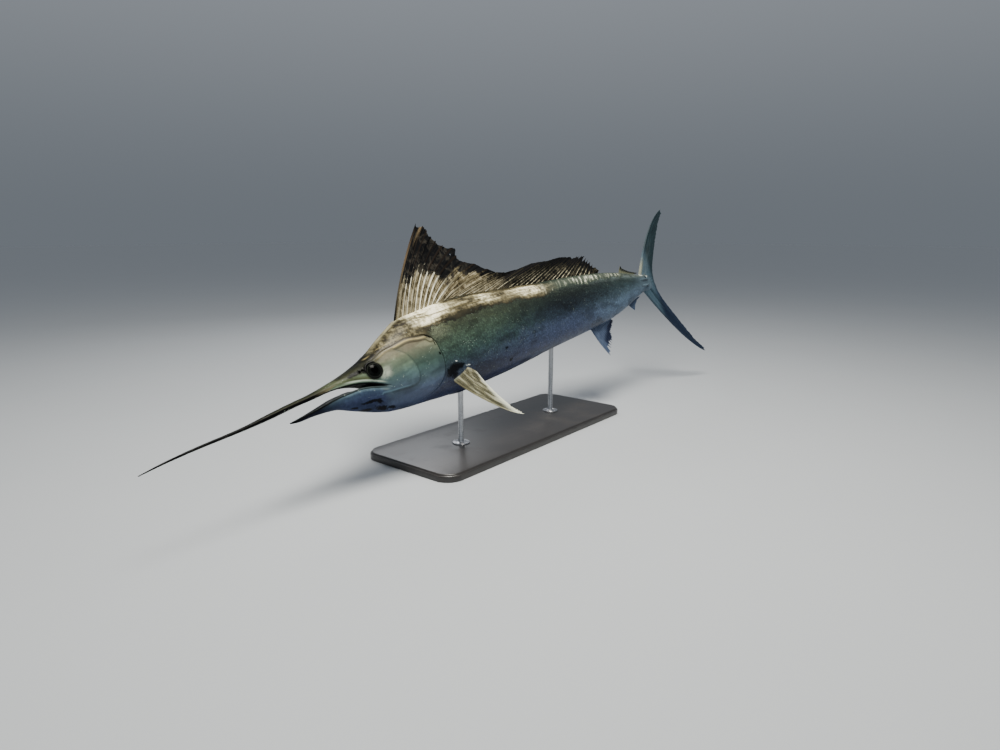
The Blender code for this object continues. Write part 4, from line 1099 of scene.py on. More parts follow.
# Painted highlight: pale cream behind the eye, light painted into the colour.
painted_light = eye_gap.span(3.2, 1.7) * up.near(0.0, 1.3 * PERCENT) * along.part(13.8, 15.0) * mottle.span(0.3, 0.55)
plates = plates.lay((182, 190, 166), painted_light, 0.8)
plates = plates.lay((116, 104, 80), up.part(1.2, 2.4), patchy.span(0.42, 0.60), 0.5)
plates = plates.dimmed(patchy.span(0.50, 0.68, 0.0, 0.5))
plates = plates.lifted(long_blotch.span(0.50, 0.66, 0.0, 0.4))
plates = plates.dimmed(grit, 0.25).greyed(0.78, 1.06)
gill_gap, gill_along = shader.carried("gill_gap"), shader.carried("gill_along")
edge_gap = gill_gap * gill_along.span(0.35, 0.62, 1.0, 0.10)
colour = colour.lay(plates, edge_gap.span(0.12, -0.12), along.part(26.4, 25.2))
fold = shader.carried("fold_gap")
crown = fold.span(-0.02, 0.22) * along.part(25.6, 21.6)
crown_colour = (long_blotch - 0.08 + grit * 0.16).ramp(*CROWN_RAMP)
light_patch = fold.near(1.15, 0.75) * patchy.span(0.42, 0.56) * grit.span(0.0, 0.6, 0.4, 1.0)
crown_colour = crown_colour.lay((108, 101, 76), light_patch, 0.7)
# Painted highlight along the top ridge of the head.
rim = girth.span(0.09, 0.04) * along.part(15.5, 18.0) * patchy.span(0.36, 0.56, 0.3, 1.0)
crown_colour = crown_colour.lay((150, 144, 114), rim, 0.8)
colour = colour.lay(crown_colour, crown)
snout = along.part(16.6, 13.6) * (up + wander * 0.012).part(0.65, 1.15)
snout_colour = shader.mix(long_blotch.span(0.38, 0.62), (9, 11, 7), (40, 43, 31))
colour = colour.lay(snout_colour, snout, 0.94)

# %% Jaws and bill
lip = shader.carried("lip_gap")
jaw = shader.carried("jaw")
upper = 1.0 - jaw
jaw_tan = shader.mix(long_blotch.span(0.40, 0.60), (36, 38, 24), (72, 78, 57))
colour = colour.lay(jaw_tan, lip.near(0.80, 0.62), upper, along.part(14.6, 12.8))
bill_shade = girth.ramp((0.12, 26, 29, 17), (0.30, 36, 37, 22), (0.42, *BILL_DARK))
bill_shade = bill_shade.lay(BILL_DARK, along.part(1.5, -7.0))
colour = colour.lay(bill_shade, along.part(8.5, 4.0), upper)
colour = colour.lay(lip.span(0.0, 2.4, kind="LINEAR").ramp(*JAW_RAMP), jaw)
colour = colour.dimmed(jaw, grit, 0.45)
colour = colour.lay((12, 16, 34), jaw, along.part(9.0, 4.0))
stripe = lip.near(0.47, 0.22) * upper * along.part(8.5, 10.5) * along.part(15.2, 13.8)
colour = colour.lay((164, 176, 160), stripe, 0.85)
# Black along the edges of both lips is painted shade at the gap of the open mouth.
colour = colour.lay(BLACK, lip.span(0.26, 0.14), upper, along.part(15.5, 14.0), 0.95)
colour = colour.lay(BLACK, lip.span(0.36, 0.20), jaw)

# %% Lines, flecks and marks
fold_along, cheek_along = shader.carried("fold_along"), shader.carried("cheek_along")
fold_start = fold_along.span(0.22, 0.40)
# Along the fold, a painted highlight in gold lies on its ridge, and a dark line of painted shade lies in the
# crease above it.
fold_highlight = fold.near(-0.32, 0.16) * fold_start * fold_along.span(0.92, 0.82)
colour = colour.lay(HIGHLIGHT_GOLD, fold_highlight, long_blotch.span(0.40, 0.54, 0.2, 1.0), 0.95)
colour = colour.lay((34, 28, 12), fold.near(0.05, 0.27), fold_start, 0.95)
high_fold = fold.near(0.55, 0.13) * fold_along.span(0.10, 0.20) * fold_along.span(0.58, 0.46)
colour = colour.lay((140, 128, 92), high_fold, patchy.span(0.38, 0.52), 0.75)
colour = colour.lay((42, 38, 20), fold.near(-0.68, 0.24), fold_along.span(0.4, 0.55), 0.75)
# A dark line of painted shadow in the groove just outside the cheek plate's rim.
colour = colour.lay((28, 40, 36), cheek_gap.near(0.10, 0.30), cheek_along.span(1.0, 0.55, 0.25, 0.8), 0.55)
colour = colour.lay((92, 118, 130), cheek_gap.near(-0.22, 0.22), cheek_along.span(0.62, 0.75), 0.55)
# Painted shade in the slit under the free edge of the gill cover.
gill_slit_shade = gill_gap.near(0.13, 0.20) * gill_along.span(0.02, 0.12) * gill_along.span(0.7, 0.35, 0.15, 1.0)
colour = colour.lay((24, 30, 26), gill_slit_shade, mottle.span(0.35, 0.55, 0.2, 1.0), 0.65)
colour = colour.lay((168, 184, 170), shader.group(FLECKS, Place=fish, Amount=0.5)["Mask"])
rough_cut = wander * 0.7 + fine * 0.8 - 0.4
# Dark spots, partly real marks and partly painted shade under the throat and at the pectoral's root.
dark_spot_and_shade_mask = (shader.carried("dark") + rough_cut).span(0.30, 0.66)
colour = colour.lay(BLACK, dark_spot_and_shade_mask, 0.94)
# Painted glints laid on as white.
colour = colour.lay(PALE, (shader.carried("pale") + rough_cut).span(0.42, 0.62), 0.8)
colour = colour.lay(BLACK, (eye_gap + wander * 0.3).span(1.42, 1.16))
# The lining inside the open mouth is painted black: painted shade.
colour = colour.lay(BLACK, shader.carried("lining"))

gloss = along.part(11.0, 19.0) * (1.0 - crown * 0.7) * (1.0 - dark_spot_and_shade_mask * 0.8)
shader.paint(base_color=colour, specular_ior_level=gloss * 0.15 + 0.07, coat_weight=gloss * 0.06,
             roughness=mottle.span(0.3, 0.7, 0.32, 0.48), normal=shader.bump(grain["Height"], 0.0009, 0.7))

place_object(
    "sailfish_skin", skin_mesh, skin_material, "body_skin", "bill", "lower_jaw", "head", "gill_cover_left",
    "gill_cover_right", "torso_front", "torso_middle", "torso_rear", "tail_peduncle")
print("skin material:", len(skin_material.node_tree.nodes), "nodes")

# %% [markdown]
# The eye of a billfish is large, round and nearly black, and shines like wet glass.
# It is a flattened ball that sits deep in its ring. A ball of rings around its own
# axis is used, because then the distance from the middle of the pupil is known at
# every point and can paint the pupil, the dark iris and its thin bright edge.

# %% Eyes
EYE_RADIUS = 1.27
EYE_DEPTH = 0.75
EYE_SUNK = 0.40
EYE_SEGMENTS = 64
EYE_RINGS = 40


def flank_normal(place, height, side):
    """Outward direction of the flank on the straight fish."""
    step = 0.05
    along = (flank(place + step, height) - flank(place - step, height)) / (2 * step)
    up = (flank(place, height + step) - flank(place, height - step)) / (2 * step)
    return Vector((-along, side, -up)).normalized()


def build_eye(side):
    """Eyeball in world places, with each point's distance from the eye's axis."""
    place, height = EYE_PLACE
    normal = flank_normal(place, height, side)
    centre = Vector((place, side * float(flank(place, height)), height)) - normal * EYE_SUNK
    turn = normal.to_track_quat("Z", "Y")
    bm = bmesh.new()
    bmesh.ops.create_uvsphere(bm, u_segments=EYE_SEGMENTS, v_segments=EYE_RINGS, radius=1)
    spread = [math.hypot(vert.co.x, vert.co.y) for vert in bm.verts]
    local = [Vector((v.co.x * EYE_RADIUS, v.co.y * EYE_RADIUS, v.co.z * EYE_DEPTH)) for v in bm.verts]
    points = to_world(np.array([centre + turn @ point for point in local]))
    for vert, point in zip(bm.verts, points):
        vert.co = point
    mesh = finished_mesh(bm, "eye")
    carry(mesh, "spread", spread)
    carry(mesh, "ball", np.array(local))
    return mesh


eye_material, shader = new_material("wet_dark_eye", roughness=0.12, specular_ior_level=0.04)
spread = shader.carried("spread")
fibres = shader.carried("ball", "Vector").noise(6.0, 4.0, 0.7, 1.5, (1.0, 1.0, 0.1))
iris = fibres.ramp((0.35, 8, 9, 10), (0.62, 20, 22, 20))
colour = shader.mix(spread.span(0.40, 0.46), (2, 2, 3), iris)
colour = colour.lay((84, 88, 78), spread.near(0.80, 0.045), 0.25)
shader.paint(base_color=colour, normal=shader.bump(fibres, 0.0003, 0.3))

for side, name in ((-1, "left"), (1, "right")):
    place_object("eye_ball_" + name, build_eye(side), eye_material, "eye", "eye_" + name)
print("eyes", round(2 * EYE_RADIUS * PERCENT * 1000), "mm across")

# %% [markdown]
# A fin is a web of skin between bony rays that fan out from its root. The plan of
# each fin is a grid of points: one line of points for each ray and several for the
# web between two rays. A small Geometry Nodes tree then gives the flat grid its
# body: it moves one copy of the grid to each side by half the thickness, which is
# largest on a ray and least in the web, and closes the edge between them. One tree
# serves all the fins, with the thicknesses as its named inputs.

# %% Geometry Nodes tree of the fin membrane
MEMBRANE_INPUTS = ("Ray Front", "Ray Rear", "Ray Edge", "Web Front", "Web Rear", "Web Edge", "Power")


class Geometry(Shader):
    """The same helper for a Geometry Nodes tree."""

    kind = "GeometryNodeTree"

    def named(self, name, kind="FLOAT"):
        node = self.add("GeometryNodeInputNamedAttribute", {"Name": name}, data_type=kind)
        return Value(self, next(out for out in node.outputs if out.enabled and out.name == "Attribute"))

    def between(self, factor, first, second):
        return self.value("ShaderNodeMix", {0: factor, 2: first, 3: second})

    def scaled(self, vector, factor):
        return self.value("ShaderNodeVectorMath", {0: vector, "Scale": factor}, operation="SCALE")

    def moved(self, geometry, offset, chosen=True):
        inputs = {"Geometry": geometry, "Offset": offset, "Selection": chosen}
        return self.value("GeometryNodeSetPosition", inputs)

    def real(self, geometry, material):
        """Ends a tree: what it made becomes real faces with their material."""
        real = self.value("GeometryNodeRealizeInstances", {"Geometry": geometry})
        painted = self.value("GeometryNodeSetMaterial", {"Geometry": real, "Material": material})
        return self.result(Geometry=painted)


def build_membrane_tree():
    inputs = {"Geometry": "Geometry", **dict.fromkeys(MEMBRANE_INPUTS, "Float"), "Material": "Material"}
    nodes, given = new_group(Geometry, "fin membrane", inputs, {"Geometry": "Geometry"})
    across, along, crest = nodes.named("across"), nodes.named("along"), nodes.named("crest")
    shrink = nodes.maths("POWER", 1.0 - along, given["Power"])

    def thickness(kind):
        root = nodes.between(across, given[kind + " Front"], given[kind + " Rear"])
        return root * shrink + given[kind + " Edge"]

    half = nodes.between(crest, thickness("Web"), thickness("Ray"))
    offset = nodes.scaled(nodes.named("out", "FLOAT_VECTOR"), half)
    front = nodes.moved(given["Geometry"], offset)
    back = nodes.moved(given["Geometry"], nodes.scaled(offset, -1.0))
    back = nodes.value("GeometryNodeFlipFaces", {"Mesh": back})
    count = nodes.value("GeometryNodeInputMeshEdgeNeighbors", output="Face Count")
    edge = nodes.value("FunctionNodeCompare", {2: count, 3: 1}, data_type="INT", operation="EQUAL")
    rim = nodes.add("GeometryNodeExtrudeMesh", {"Mesh": front, "Selection": edge, "Offset Scale": 0.0},
                    mode="EDGES").outputs
    folded = nodes.moved(rim["Mesh"], nodes.scaled(offset, -2.0), rim["Top"])
    joined = nodes.add("GeometryNodeJoinGeometry")
    for part in (back, folded):
        nodes.feed(joined.inputs[0], part)
    merged = nodes.value("GeometryNodeMergeByDistance", {"Geometry": joined.outputs[0], "Distance": 0.00001})
    return nodes.real(merged, given["Material"])


def grown(mesh, tree, inputs):
    """Mesh that a Geometry Nodes tree makes from another one."""
    draft = new_object(mesh.name, mesh)
    modifier = draft.modifiers.new(tree.name, "NODES")
    modifier.node_group = tree
    sockets = {item.name: item.identifier for item in tree.interface.items_tree if item.in_out == "INPUT"}
    for key, value in inputs.items():
        modifier[sockets[key]] = value
    made = bpy.data.meshes.new_from_object(draft.evaluated_get(bpy.context.evaluated_depsgraph_get()))
    draft.modifiers.remove(modifier)
    bpy.data.objects.remove(draft)
    return made


MEMBRANE = build_membrane_tree()
print("membrane tree:", len(MEMBRANE.nodes), "nodes")

# %% Fin grid
WEB_PARTS = (0.0, 0.05, 0.10, 0.17, 0.32, 0.50, 0.68, 0.83, 0.90, 0.95)
RAY_HALF_WIDTH = 0.17
GRID_ROWS = 56
FIN_SHARP_EDGE = math.radians(50)


def ray_crest(part):
    """Height of the ridge across one web: 1 on the rays at both ends, 0 between them."""
    away = min(part, 1 - part)
    return max(0.0, 1 - (away / RAY_HALF_WIDTH) ** 2) ** 0.6


class FinPlan:
    """Fan of curved rays: functions give its root line, free edge and bow."""

    def __init__(self, root, tip, bow, rays, fullness=1.0, lean=0.0):
        self.root, self.tip, self.bow = root, tip, bow
        self.rays = list(rays)
        self.fullness, self.lean = fullness, lean

    def centre(self, across, along):
        root, tip, bow = (np.array(part(across), float) for part in (self.root, self.tip, self.bow))
        along = np.clip(np.asarray(along, float), 0, None)[:, None]
        inner = np.clip(4 * along * (1 - along), 0, 1)
        swell = inner ** self.fullness * (1 + self.lean * (2 * along - 1)) / 2
        return root + (tip - root) * along + bow * swell

    def columns(self):
        """Fan position, ray number with its part, and crest of every column."""
        result = []
        for number, (first, second) in enumerate(zip(self.rays, self.rays[1:])):
            for part in WEB_PARTS:
                result.append((first + (second - first) * part, number + part, ray_crest(part)))
        result.append((self.rays[-1], len(self.rays) - 1.0, 1.0))
        return result


def edge_tip(tips):
    """Free edge of a fin on the middle line, from the tips of its rays."""
    return lambda across: (straight(tips, across, 1), 0.0, straight(tips, across, 2))


def torn_reach(ray_number, depth, jag, seed):
    """How far out the web reaches between two rays, with a ragged edge."""
    number, part = int(ray_number), ray_number - int(ray_number)
    rng = random.Random(seed * 1000 + number)
    low = depth * rng.uniform(0.2, 1.6)
    lean = rng.uniform(0.3, 0.7)
    shape = math.sin(math.pi * (part / (2 * lean) if part < lean else 0.5 + (part - lean) / (2 - 2 * lean)))
    fine = random.Random(seed * 7919 + round(ray_number * 100)).uniform(-1, 1)
    return 1 - low * shape ** 0.7 - jag * fine * (part > 0)


def fin_sheet(name, plan, notch, jag, seed, out, rows, holes, extra):
    """Flat sheet of a fin in world places, which carries what the membrane needs."""
    columns = plan.columns()
    low, high = plan.rays[0], plan.rays[-1]
    points, carried, faces = [], [], []
    for across, ray, crest in columns:
        reach = min(1.0, torn_reach(ray, notch(across), jag, seed)) if ray != int(ray) else 1.0
        along = reach * np.linspace(0, 1, rows + 1)
        points.append(plan.centre(across, along))
        part = (across - low) / (high - low)
        carried += [(part, place, crest, ray) for place in along]
    for i in range(len(columns) - 1):
        for j in range(rows):
            a = i * (rows + 1) + j
            b = a + rows + 1
            middle = points[i][j]
            if not any(math.hypot(middle[0] - x, middle[2] - z) < radius for x, z, radius in holes):
                faces.append((a, b, b + 1, a + 1))
    points, carried = np.vstack(points), np.array(carried)
    mesh = bpy.data.meshes.new(name + "_plan")
    mesh.from_pydata(to_world(points).tolist(), [], faces)
    direction = np.array(POSE.to_3x3() @ Vector(out))
    for key, values in (("across", carried[:, 0]), ("along", np.clip(carried[:, 1], 0, 1)),
                        ("crest", carried[:, 2]), ("ray", carried[:, 3]), ("fish", points * PERCENT),
                        ("out", np.tile(direction, (len(points), 1)))):
        carry(mesh, key, values)
    for key, measure in extra:
        carry(mesh, key, measure(points))
    return mesh


def build_fin(name, plan, halves, material, slot, nodes, notch, jag, seed, out=(0, 1, 0),
              rows=GRID_ROWS, holes=(), extra=()):
    """Finished fin: the sheet of its plan, thickened by the membrane tree."""
    sheet = fin_sheet(name, plan, notch, jag, seed, out, rows, holes, extra)
    inputs = {key: float(value) for key, value in zip(MEMBRANE_INPUTS, halves)}
    solid = grown(sheet, MEMBRANE, {**inputs, "Material": material})
    bm = bmesh.new()
    bm.from_mesh(solid)
    loose = [vert for vert in bm.verts if not vert.link_faces]
    bmesh.ops.delete(bm, geom=loose, context="VERTS")
    open_edges = sum(1 for edge in bm.edges if len(edge.link_faces) != 2)
    bmesh.ops.recalc_face_normals(bm, faces=bm.faces)
    solid.name = name
    bm.to_mesh(solid)
    bm.free()
    place_object(name, solid, material, slot, *nodes)
    solid.set_sharp_from_angle(angle=FIN_SHARP_EDGE)
    print(name + ":", len(solid.polygons), "faces,", len(plan.rays), "rays,", open_edges, "open edges")

# %% [markdown]
# Fin colours need two things that every fin shares: streaks that run along each ray,
# and rays that are paler than the web between them. One group gives both as masks from
# the numbers that the membrane carries, and each fin's material chooses its colours
# and how far the pale rays reach.

# %% Group for rays and streaks
def build_ray_group():
    shader, given = new_group(
        Shader, "rays and streaks", {"Crest": "Float", "Ray": "Float", "Along": "Float", "Place": "Vector"},
        dict.fromkeys(("Ray", "Luck", "Streak", "Blotch", "Height"), "Float"))
    sheet = shader.value("ShaderNodeCombineXYZ", {0: given["Ray"], 1: given["Along"]})
    streak = sheet.noise(1.0, 3.0, 0.6, 0.3, (7.0, 3.0, 1.0))
    wrinkle = sheet.noise(1.0, 2.0, 0.5, stretch=(3.0, 60.0, 1.0))
    number = shader.maths("ROUND", given["Ray"])
    luck = shader.value("ShaderNodeTexWhiteNoise", {"W": number}, "Value", noise_dimensions="1D")
    return shader.result(Ray=given["Crest"].span(0.45, 0.92), Luck=luck, Streak=streak,
                         Blotch=given["Place"].noise(42.0, 4.0, 0.62, 0.8),
                         Height=streak * 0.7 + wrinkle * 0.3)


RAYS = build_ray_group()


def fin_base(name, **constants):
    """Fin material with its shared masks: the material, its helper and the masks."""
    material, shader = new_material(name, **constants)
    masks = shader.group(RAYS, Crest=shader.carried("crest"), Ray=shader.carried("ray"),
                         Along=shader.carried("along"), Place=shader.carried("fish", "Vector"))
    shader.paint(normal=shader.bump(masks["Height"], 0.0006, 0.6),
                 roughness=masks["Streak"].span(0.3, 0.7, 0.34, 0.52))
    return material, shader, masks


print("ray group:", len(RAYS.nodes), "nodes")

# %% [markdown]
# The sail is the fish's banner: forty rays, the first of them long and close together,
# with a web that turns black towards its edge. Here it is half raised and torn: a high
# point in front, a broken corner behind it, a hollow and then a second hump that ends
# in a comb of bare ray tips. The front's lower half is light tan with cream rays, and
# the rear is striped dark and tan below a black edge. A table tells for places along
# its root where a ray from there ends.

# %% Sail
SAIL_RAYS = (
    (21.8, 32.85, 20.45), (22.7, 33.40, 19.85), (23.7, 34.40, 19.90), (24.6, 34.95, 19.10),
    (25.2, 35.05, 18.25), (26.0, 35.90, 17.55), (26.6, 36.30, 16.95), (27.6, 37.80, 16.00),
    (28.7, 40.45, 15.25), (29.05, 39.75, 14.30), (29.4, 39.75, 13.60), (29.9, 40.70, 12.80),
    (31.3, 43.50, 11.80), (32.4, 45.30, 10.60), (34.0, 47.50, 9.50), (36.5, 50.3, 9.05), (40.0, 54.3, 9.10),
    (44.0, 58.5, 9.50), (48.5, 63.3, 9.20), (53.5, 67.0, 9.38), (59.5, 71.5, 9.00), (60.3, 71.7, 8.62),
    (63.5, 73.7, 8.83), (68.0, 75.9, 8.72), (71.0, 76.6, 7.90), (73.5, 77.2, 7.05), (76.0, 77.9, 6.00),
    (78.2, 79.0, 4.90),
)
SAIL_SHADE = (
    (20.0, 10.6), (25.1, 11.4), (27.1, 11.8), (29.8, 12.6), (32.1, 12.7), (33.5, 11.6), (35.0, 10.5),
    (36.6, 10.6), (37.8, 11.6), (39.1, 11.2), (41.7, 10.4), (43.5, 9.4), (47.3, 8.7), (51.2, 8.1),
    (60.8, 8.1), (65.6, 7.7), (70.7, 7.2), (75.0, 6.2), (79.0, 4.6),
)
SAIL_SPLIT = 31.05
SAIL_FRONT_RAYS = 11
SAIL_REAR_RAYS = 29
SAIL_WAVE = 0.30
SAIL_WAVE_LENGTH = 17.0
SAIL_BOWS = (
    (21.8, -0.80, 0.85), (25.0, -1.20, 1.10), (29.0, -1.60, 1.50), (32.0, -0.90, 0.90), (38.0, -0.1, 0.2),
    (78.2, 0.0, 0.1),
)
SAIL_TORN_START = 60.0
SAIL_TORN_LENGTH = 12.0
ROOT_SINK = 0.22
SAIL_HALVES = (0.0010, 0.0010, 0.0006, 0.0002, 0.0002, 0.0003, 1.0)
SAIL_HOLES = ((38.15, 14.55, 0.16), (36.9, 15.3, 0.08))


def top_line(place):
    return float(curve(BODY, place, TOP))


def bottom_line(place):
    return float(curve(BODY, place, BOTTOM))


def sail_root(across):
    return (across, 0.0, top_line(across) - ROOT_SINK)


def sail_tip(across):
    place, height = straight(SAIL_RAYS, across, 1), straight(SAIL_RAYS, across, 2)
    return (place, SAIL_WAVE * math.sin(2 * math.pi * place / SAIL_WAVE_LENGTH), height)


def sail_bow(across):
    return (straight(SAIL_BOWS, across, 1), 0.0, straight(SAIL_BOWS, across, 2))


def sail_notch(across):
    torn = min(1.0, max(0.0, (across - SAIL_TORN_START) / SAIL_TORN_LENGTH))
    return 0.022 + 0.20 * torn


def above_shade(points):
    """Height above the line where the sail's web turns black."""
    return points[:, 2] - curve(SAIL_SHADE, points[:, 0], 1)


sail_material, shader, masks = fin_base("sail_membrane", specular_ior_level=0.12)
fish, place, side, up = fish_place(shader)
along, ray = shader.carried("along"), shader.carried("ray")
luck, streak, blotch = masks["Luck"], masks["Streak"], masks["Blotch"]
ragged = shader.carried("shade") + (blotch - 0.5) * 4.2 + (luck - 0.5) * 1.2
blotched = fish.noise(58.0, 4.0, 0.6, 0.6, (1.0, 1.0, 0.8))
torn_web = streak * 0.65 + blotched * 0.35
pale_web = torn_web.ramp((0.38, 24, 20, 13), (0.49, 84, 76, 56), (0.60, 160, 151, 125))
rear_web = torn_web.ramp((0.40, 7, 8, 8), (0.52, 24, 24, 21), (0.64, 88, 83, 68))
dark_web = streak.ramp((0.35, 6, 7, 8), (0.70, 24, 24, 25))
dark_web = dark_web.lay((66, 62, 54), blotch.span(0.46, 0.68), place.part(44.0, 38.0), 0.5)
rear = place.part(43.0, 51.0)
web = pale_web.lay(rear_web, rear).lay(dark_web, ragged.span(-0.55, 0.45))
web = web.lay((150, 142, 116), along.span(0.16, 0.02), place.part(36.0, 30.0), 0.4)
web = web.dimmed(place.part(31.0, 24.0), torn_web.span(0.58, 0.44), 0.9)
# Painted light: the front rays are painted brighter where sunlight falls on them.
sunlit = luck.span(0.1, 0.7, 0.25, 1.0) * blotched.span(0.38, 0.52, 0.5, 1.0)
painted_light = place.part(24.0, 27.5) * place.part(37.0, 31.0) * sunlit
low = (along + luck * 0.3).span(0.85, 0.20)
bright = shader.maths("MAXIMUM", painted_light, low * luck.span(0.2, 0.9, 0.1, 0.55))
front_ray = shader.mix(bright, (92, 85, 64), (232, 229, 206))
rear_light = low * luck.span(0.0, 0.7) * blotched.span(0.40, 0.56, 0.1, 1.0)
rear_ray = shader.mix(rear_light, (44, 40, 29), (214, 206, 174))
ray_black = shader.mix(luck, (6, 6, 6), (34, 28, 23))
ray_colour = front_ray.lay(rear_ray, rear).lay(ray_black, ragged.span(-0.3, 1.1))
colour = web.lay(ray_colour, masks["Ray"])
lead = along.ramp((0.05, 16, 14, 10), (0.28, 72, 66, 52), (0.62, 96, 82, 64), (0.85, 52, 44, 36),
                  (0.97, 10, 9, 8))
colour = colour.lay(lead, ray.span(0.55, 0.25))
colour = colour.lay((150, 130, 98), ray.near(1.4, 0.6), along.span(0.72, 0.90), streak.span(0.35, 0.6), 0.8)
shader.paint(base_color=colour)

sail_rays = list(np.linspace(SAIL_RAYS[0][0], SAIL_SPLIT, SAIL_FRONT_RAYS))
sail_rays += list(np.linspace(SAIL_SPLIT, SAIL_RAYS[-1][0], SAIL_REAR_RAYS + 1))[1:]
build_fin("sail", FinPlan(sail_root, sail_tip, sail_bow, sail_rays), SAIL_HALVES, sail_material, "sail",
          ("dorsal_sail_front", "dorsal_sail_rear"), sail_notch, 0.008, 3, holes=SAIL_HOLES,
          extra=(("shade", above_shade),))

# %% [markdown]
# The small fins on the middle line are short triangles with the same build: one low
# on the back in front of the tail, and two below, of which the first is the larger
# and has a ragged dark rear edge. The two below are a bluish violet, and the one on
# the back is olive grey at its root and dark at its edge.

# %% Small fins on the back and the belly
SMALL_FINS = (
    ("fin_dorsal_second", "dorsal_second", TOP, (86.4, 91.2), 9, 0.05, 5, (-0.2, 0.0, 0.2),
     ((0, 87.9, 4.95), (0.14, 88.25, 4.25), (0.5, 90.4, 3.35), (1, 94.0, 2.50)),
     (0.0007, 0.0007, 0.0006, 0.0003, 0.0003, 0.0003, 1.0)),
    ("fin_anal_first", "anal_first", BOTTOM, (69.9, 77.6), 15, 0.14, 6, (-0.5, 0.0, -0.5),
     ((0, 73.7, -13.0), (0.16, 74.9, -11.4), (0.40, 76.2, -9.9), (0.70, 76.6, -8.1), (1, 78.6, -6.35)),
     (0.0009, 0.0009, 0.0007, 0.0005, 0.0005, 0.0003, 1.0)),
    ("fin_anal_second", "anal_second", BOTTOM, (86.2, 89.8), 9, 0.05, 7, (-0.2, 0.0, -0.2),
     ((0, 88.2, -5.55), (0.3, 88.8, -4.60), (0.7, 90.2, -3.45), (1, 92.0, -2.85)),
     (0.0007, 0.0007, 0.0006, 0.0003, 0.0003, 0.0003, 1.0)),
)

small_material, shader, masks = fin_base("small_fin_membrane", specular_ior_level=0.2)
fish, place, side, up = fish_place(shader)
across, along = shader.carried("across"), shader.carried("along")
violet = masks["Blotch"].ramp((0.35, 62, 72, 93), (0.65, 84, 96, 117))
edge = along + across * 0.25 + masks["Blotch"] * 0.5
violet = violet.lay((18, 22, 42), edge.span(0.74, 1.02), across.span(0.08, 0.22))
violet = violet.lay((88, 106, 136), masks["Ray"], 0.30)
pale_fin = shader.mix(masks["Ray"], (58, 70, 90), (72, 86, 108))
belly_fin = violet.lay(pale_fin, place.part(82.0, 84.0))
back_fin = shader.mix(along.span(0.25, 0.75), (96, 98, 78), (22, 24, 24))
back_fin = back_fin.lay((112, 114, 94), masks["Ray"], 0.4)
shader.paint(base_color=belly_fin.lay(back_fin, up.span(-0.01, 0.01)))


def small_fin_plan(line, root, rays, bow, tips):
    """Plan of a fin on the middle line of the back or the belly."""
    sign = 1 if line == TOP else -1
    outline = top_line if line == TOP else bottom_line

    def root_point(across):
        place = root[0] + (root[1] - root[0]) * across
        return (place, 0.0, outline(place) - sign * ROOT_SINK)

    return FinPlan(root_point, edge_tip(tips), lambda across: np.array(bow) * (1 - across),
                   np.linspace(0, 1, rays))


for name, node, line, root, rays, notch, seed, bow, tips, halves in SMALL_FINS:
    plan = small_fin_plan(line, root, rays, bow, tips)
    build_fin(name, plan, halves, small_material, "small_fins", (node,), lambda across, depth=notch: depth,
              0.01, seed)

# %% [markdown]
# The tail is a stiff, narrow crescent, the engine of the fish. Its rays lie almost on
# top of each other at the leading edge, which makes that edge thick and rounded, and
# they thin out towards the fork. Two lobes are built from one plan with other
# numbers, each with its root wrapped around the end of the body.

# %% Tail
UPPER_TIPS = (
    (0, 113.1, 17.15), (0.05, 112.9, 16.2), (0.2, 110.0, 13.9), (0.42, 106.3, 9.8), (0.62, 103.2, 6.2),
    (0.78, 101.2, 3.6), (0.9, 100.2, 1.6), (1, 99.9, 0.05),
)
LOWER_TIPS = (
    (0, 113.4, -20.0), (0.05, 113.3, -19.2), (0.2, 110.4, -16.6), (0.42, 106.4, -11.7), (0.62, 103.2, -7.5),
    (0.78, 101.2, -4.7), (0.9, 100.1, -2.4), (1, 99.9, 0.05),
)
UPPER_BOW = (-2.2, 2.2)
LOWER_BOW = (-2.1, -2.25)
LOBE_ROOT = 94.4
LOBE_CORNER = 0.25
LOBE_END = 96.6
LOBE_BOW_FADE = 1.5
TAIL_RAYS = 21
TAIL_HALVES = (0.0046, 0.0026, 0.0009, 0.0038, 0.0021, 0.0005, 1.0)


def lobe_plan(sign, tips, lead):
    """Plan of one lobe, fanning from the end of the body."""
    outline = top_line if sign > 0 else bottom_line
    corner = sign * (top_line(LOBE_END) - ROOT_SINK)

    def root(across):
        if across <= LOBE_CORNER:
            place = LOBE_ROOT + (LOBE_END - LOBE_ROOT) * across / LOBE_CORNER
            return (place, 0.0, outline(place) - sign * ROOT_SINK)
        part = (across - LOBE_CORNER) / (1 - LOBE_CORNER)
        return (LOBE_END, 0.0, corner * (1 - part))

    def bow(across):
        fade = (1 - across) ** LOBE_BOW_FADE
        return (lead[0] * fade, 0.0, lead[1] * fade)

    return FinPlan(root, edge_tip(tips), bow, np.linspace(0, 1, TAIL_RAYS), 0.85, 0.3)


tail_material, shader, masks = fin_base("tail_membrane", specular_ior_level=0.2)
across, along, streak = shader.carried("across"), shader.carried("along"), masks["Streak"]
fish, place, side, up = fish_place(shader)
olive_grey = streak.ramp((0.32, 16, 25, 29), (0.68, 34, 52, 58))
blue_black = streak.ramp((0.32, 16, 22, 36), (0.68, 36, 50, 74))
colour = olive_grey.lay(blue_black, up.span(0.01, -0.06))
colour = colour.lay((66, 80, 80), masks["Ray"], 0.16)
root_pale = (along + masks["Blotch"] * 0.18).span(0.36, 0.12) * up.span(0.04, 0.0, 0.35, 0.8)
near_body = (place + streak * 0.02).part(101.2, 98.6) * up.span(0.05, 0.0, 0.55, 0.9)
colour = colour.lay((70, 90, 102), shader.maths("MAXIMUM", root_pale, near_body))
lead = across.span(0.07, 0.01) * along.span(0.26, 0.08) * up.span(0.0, 0.05)
colour = colour.lay((140, 140, 116), lead, 0.7)
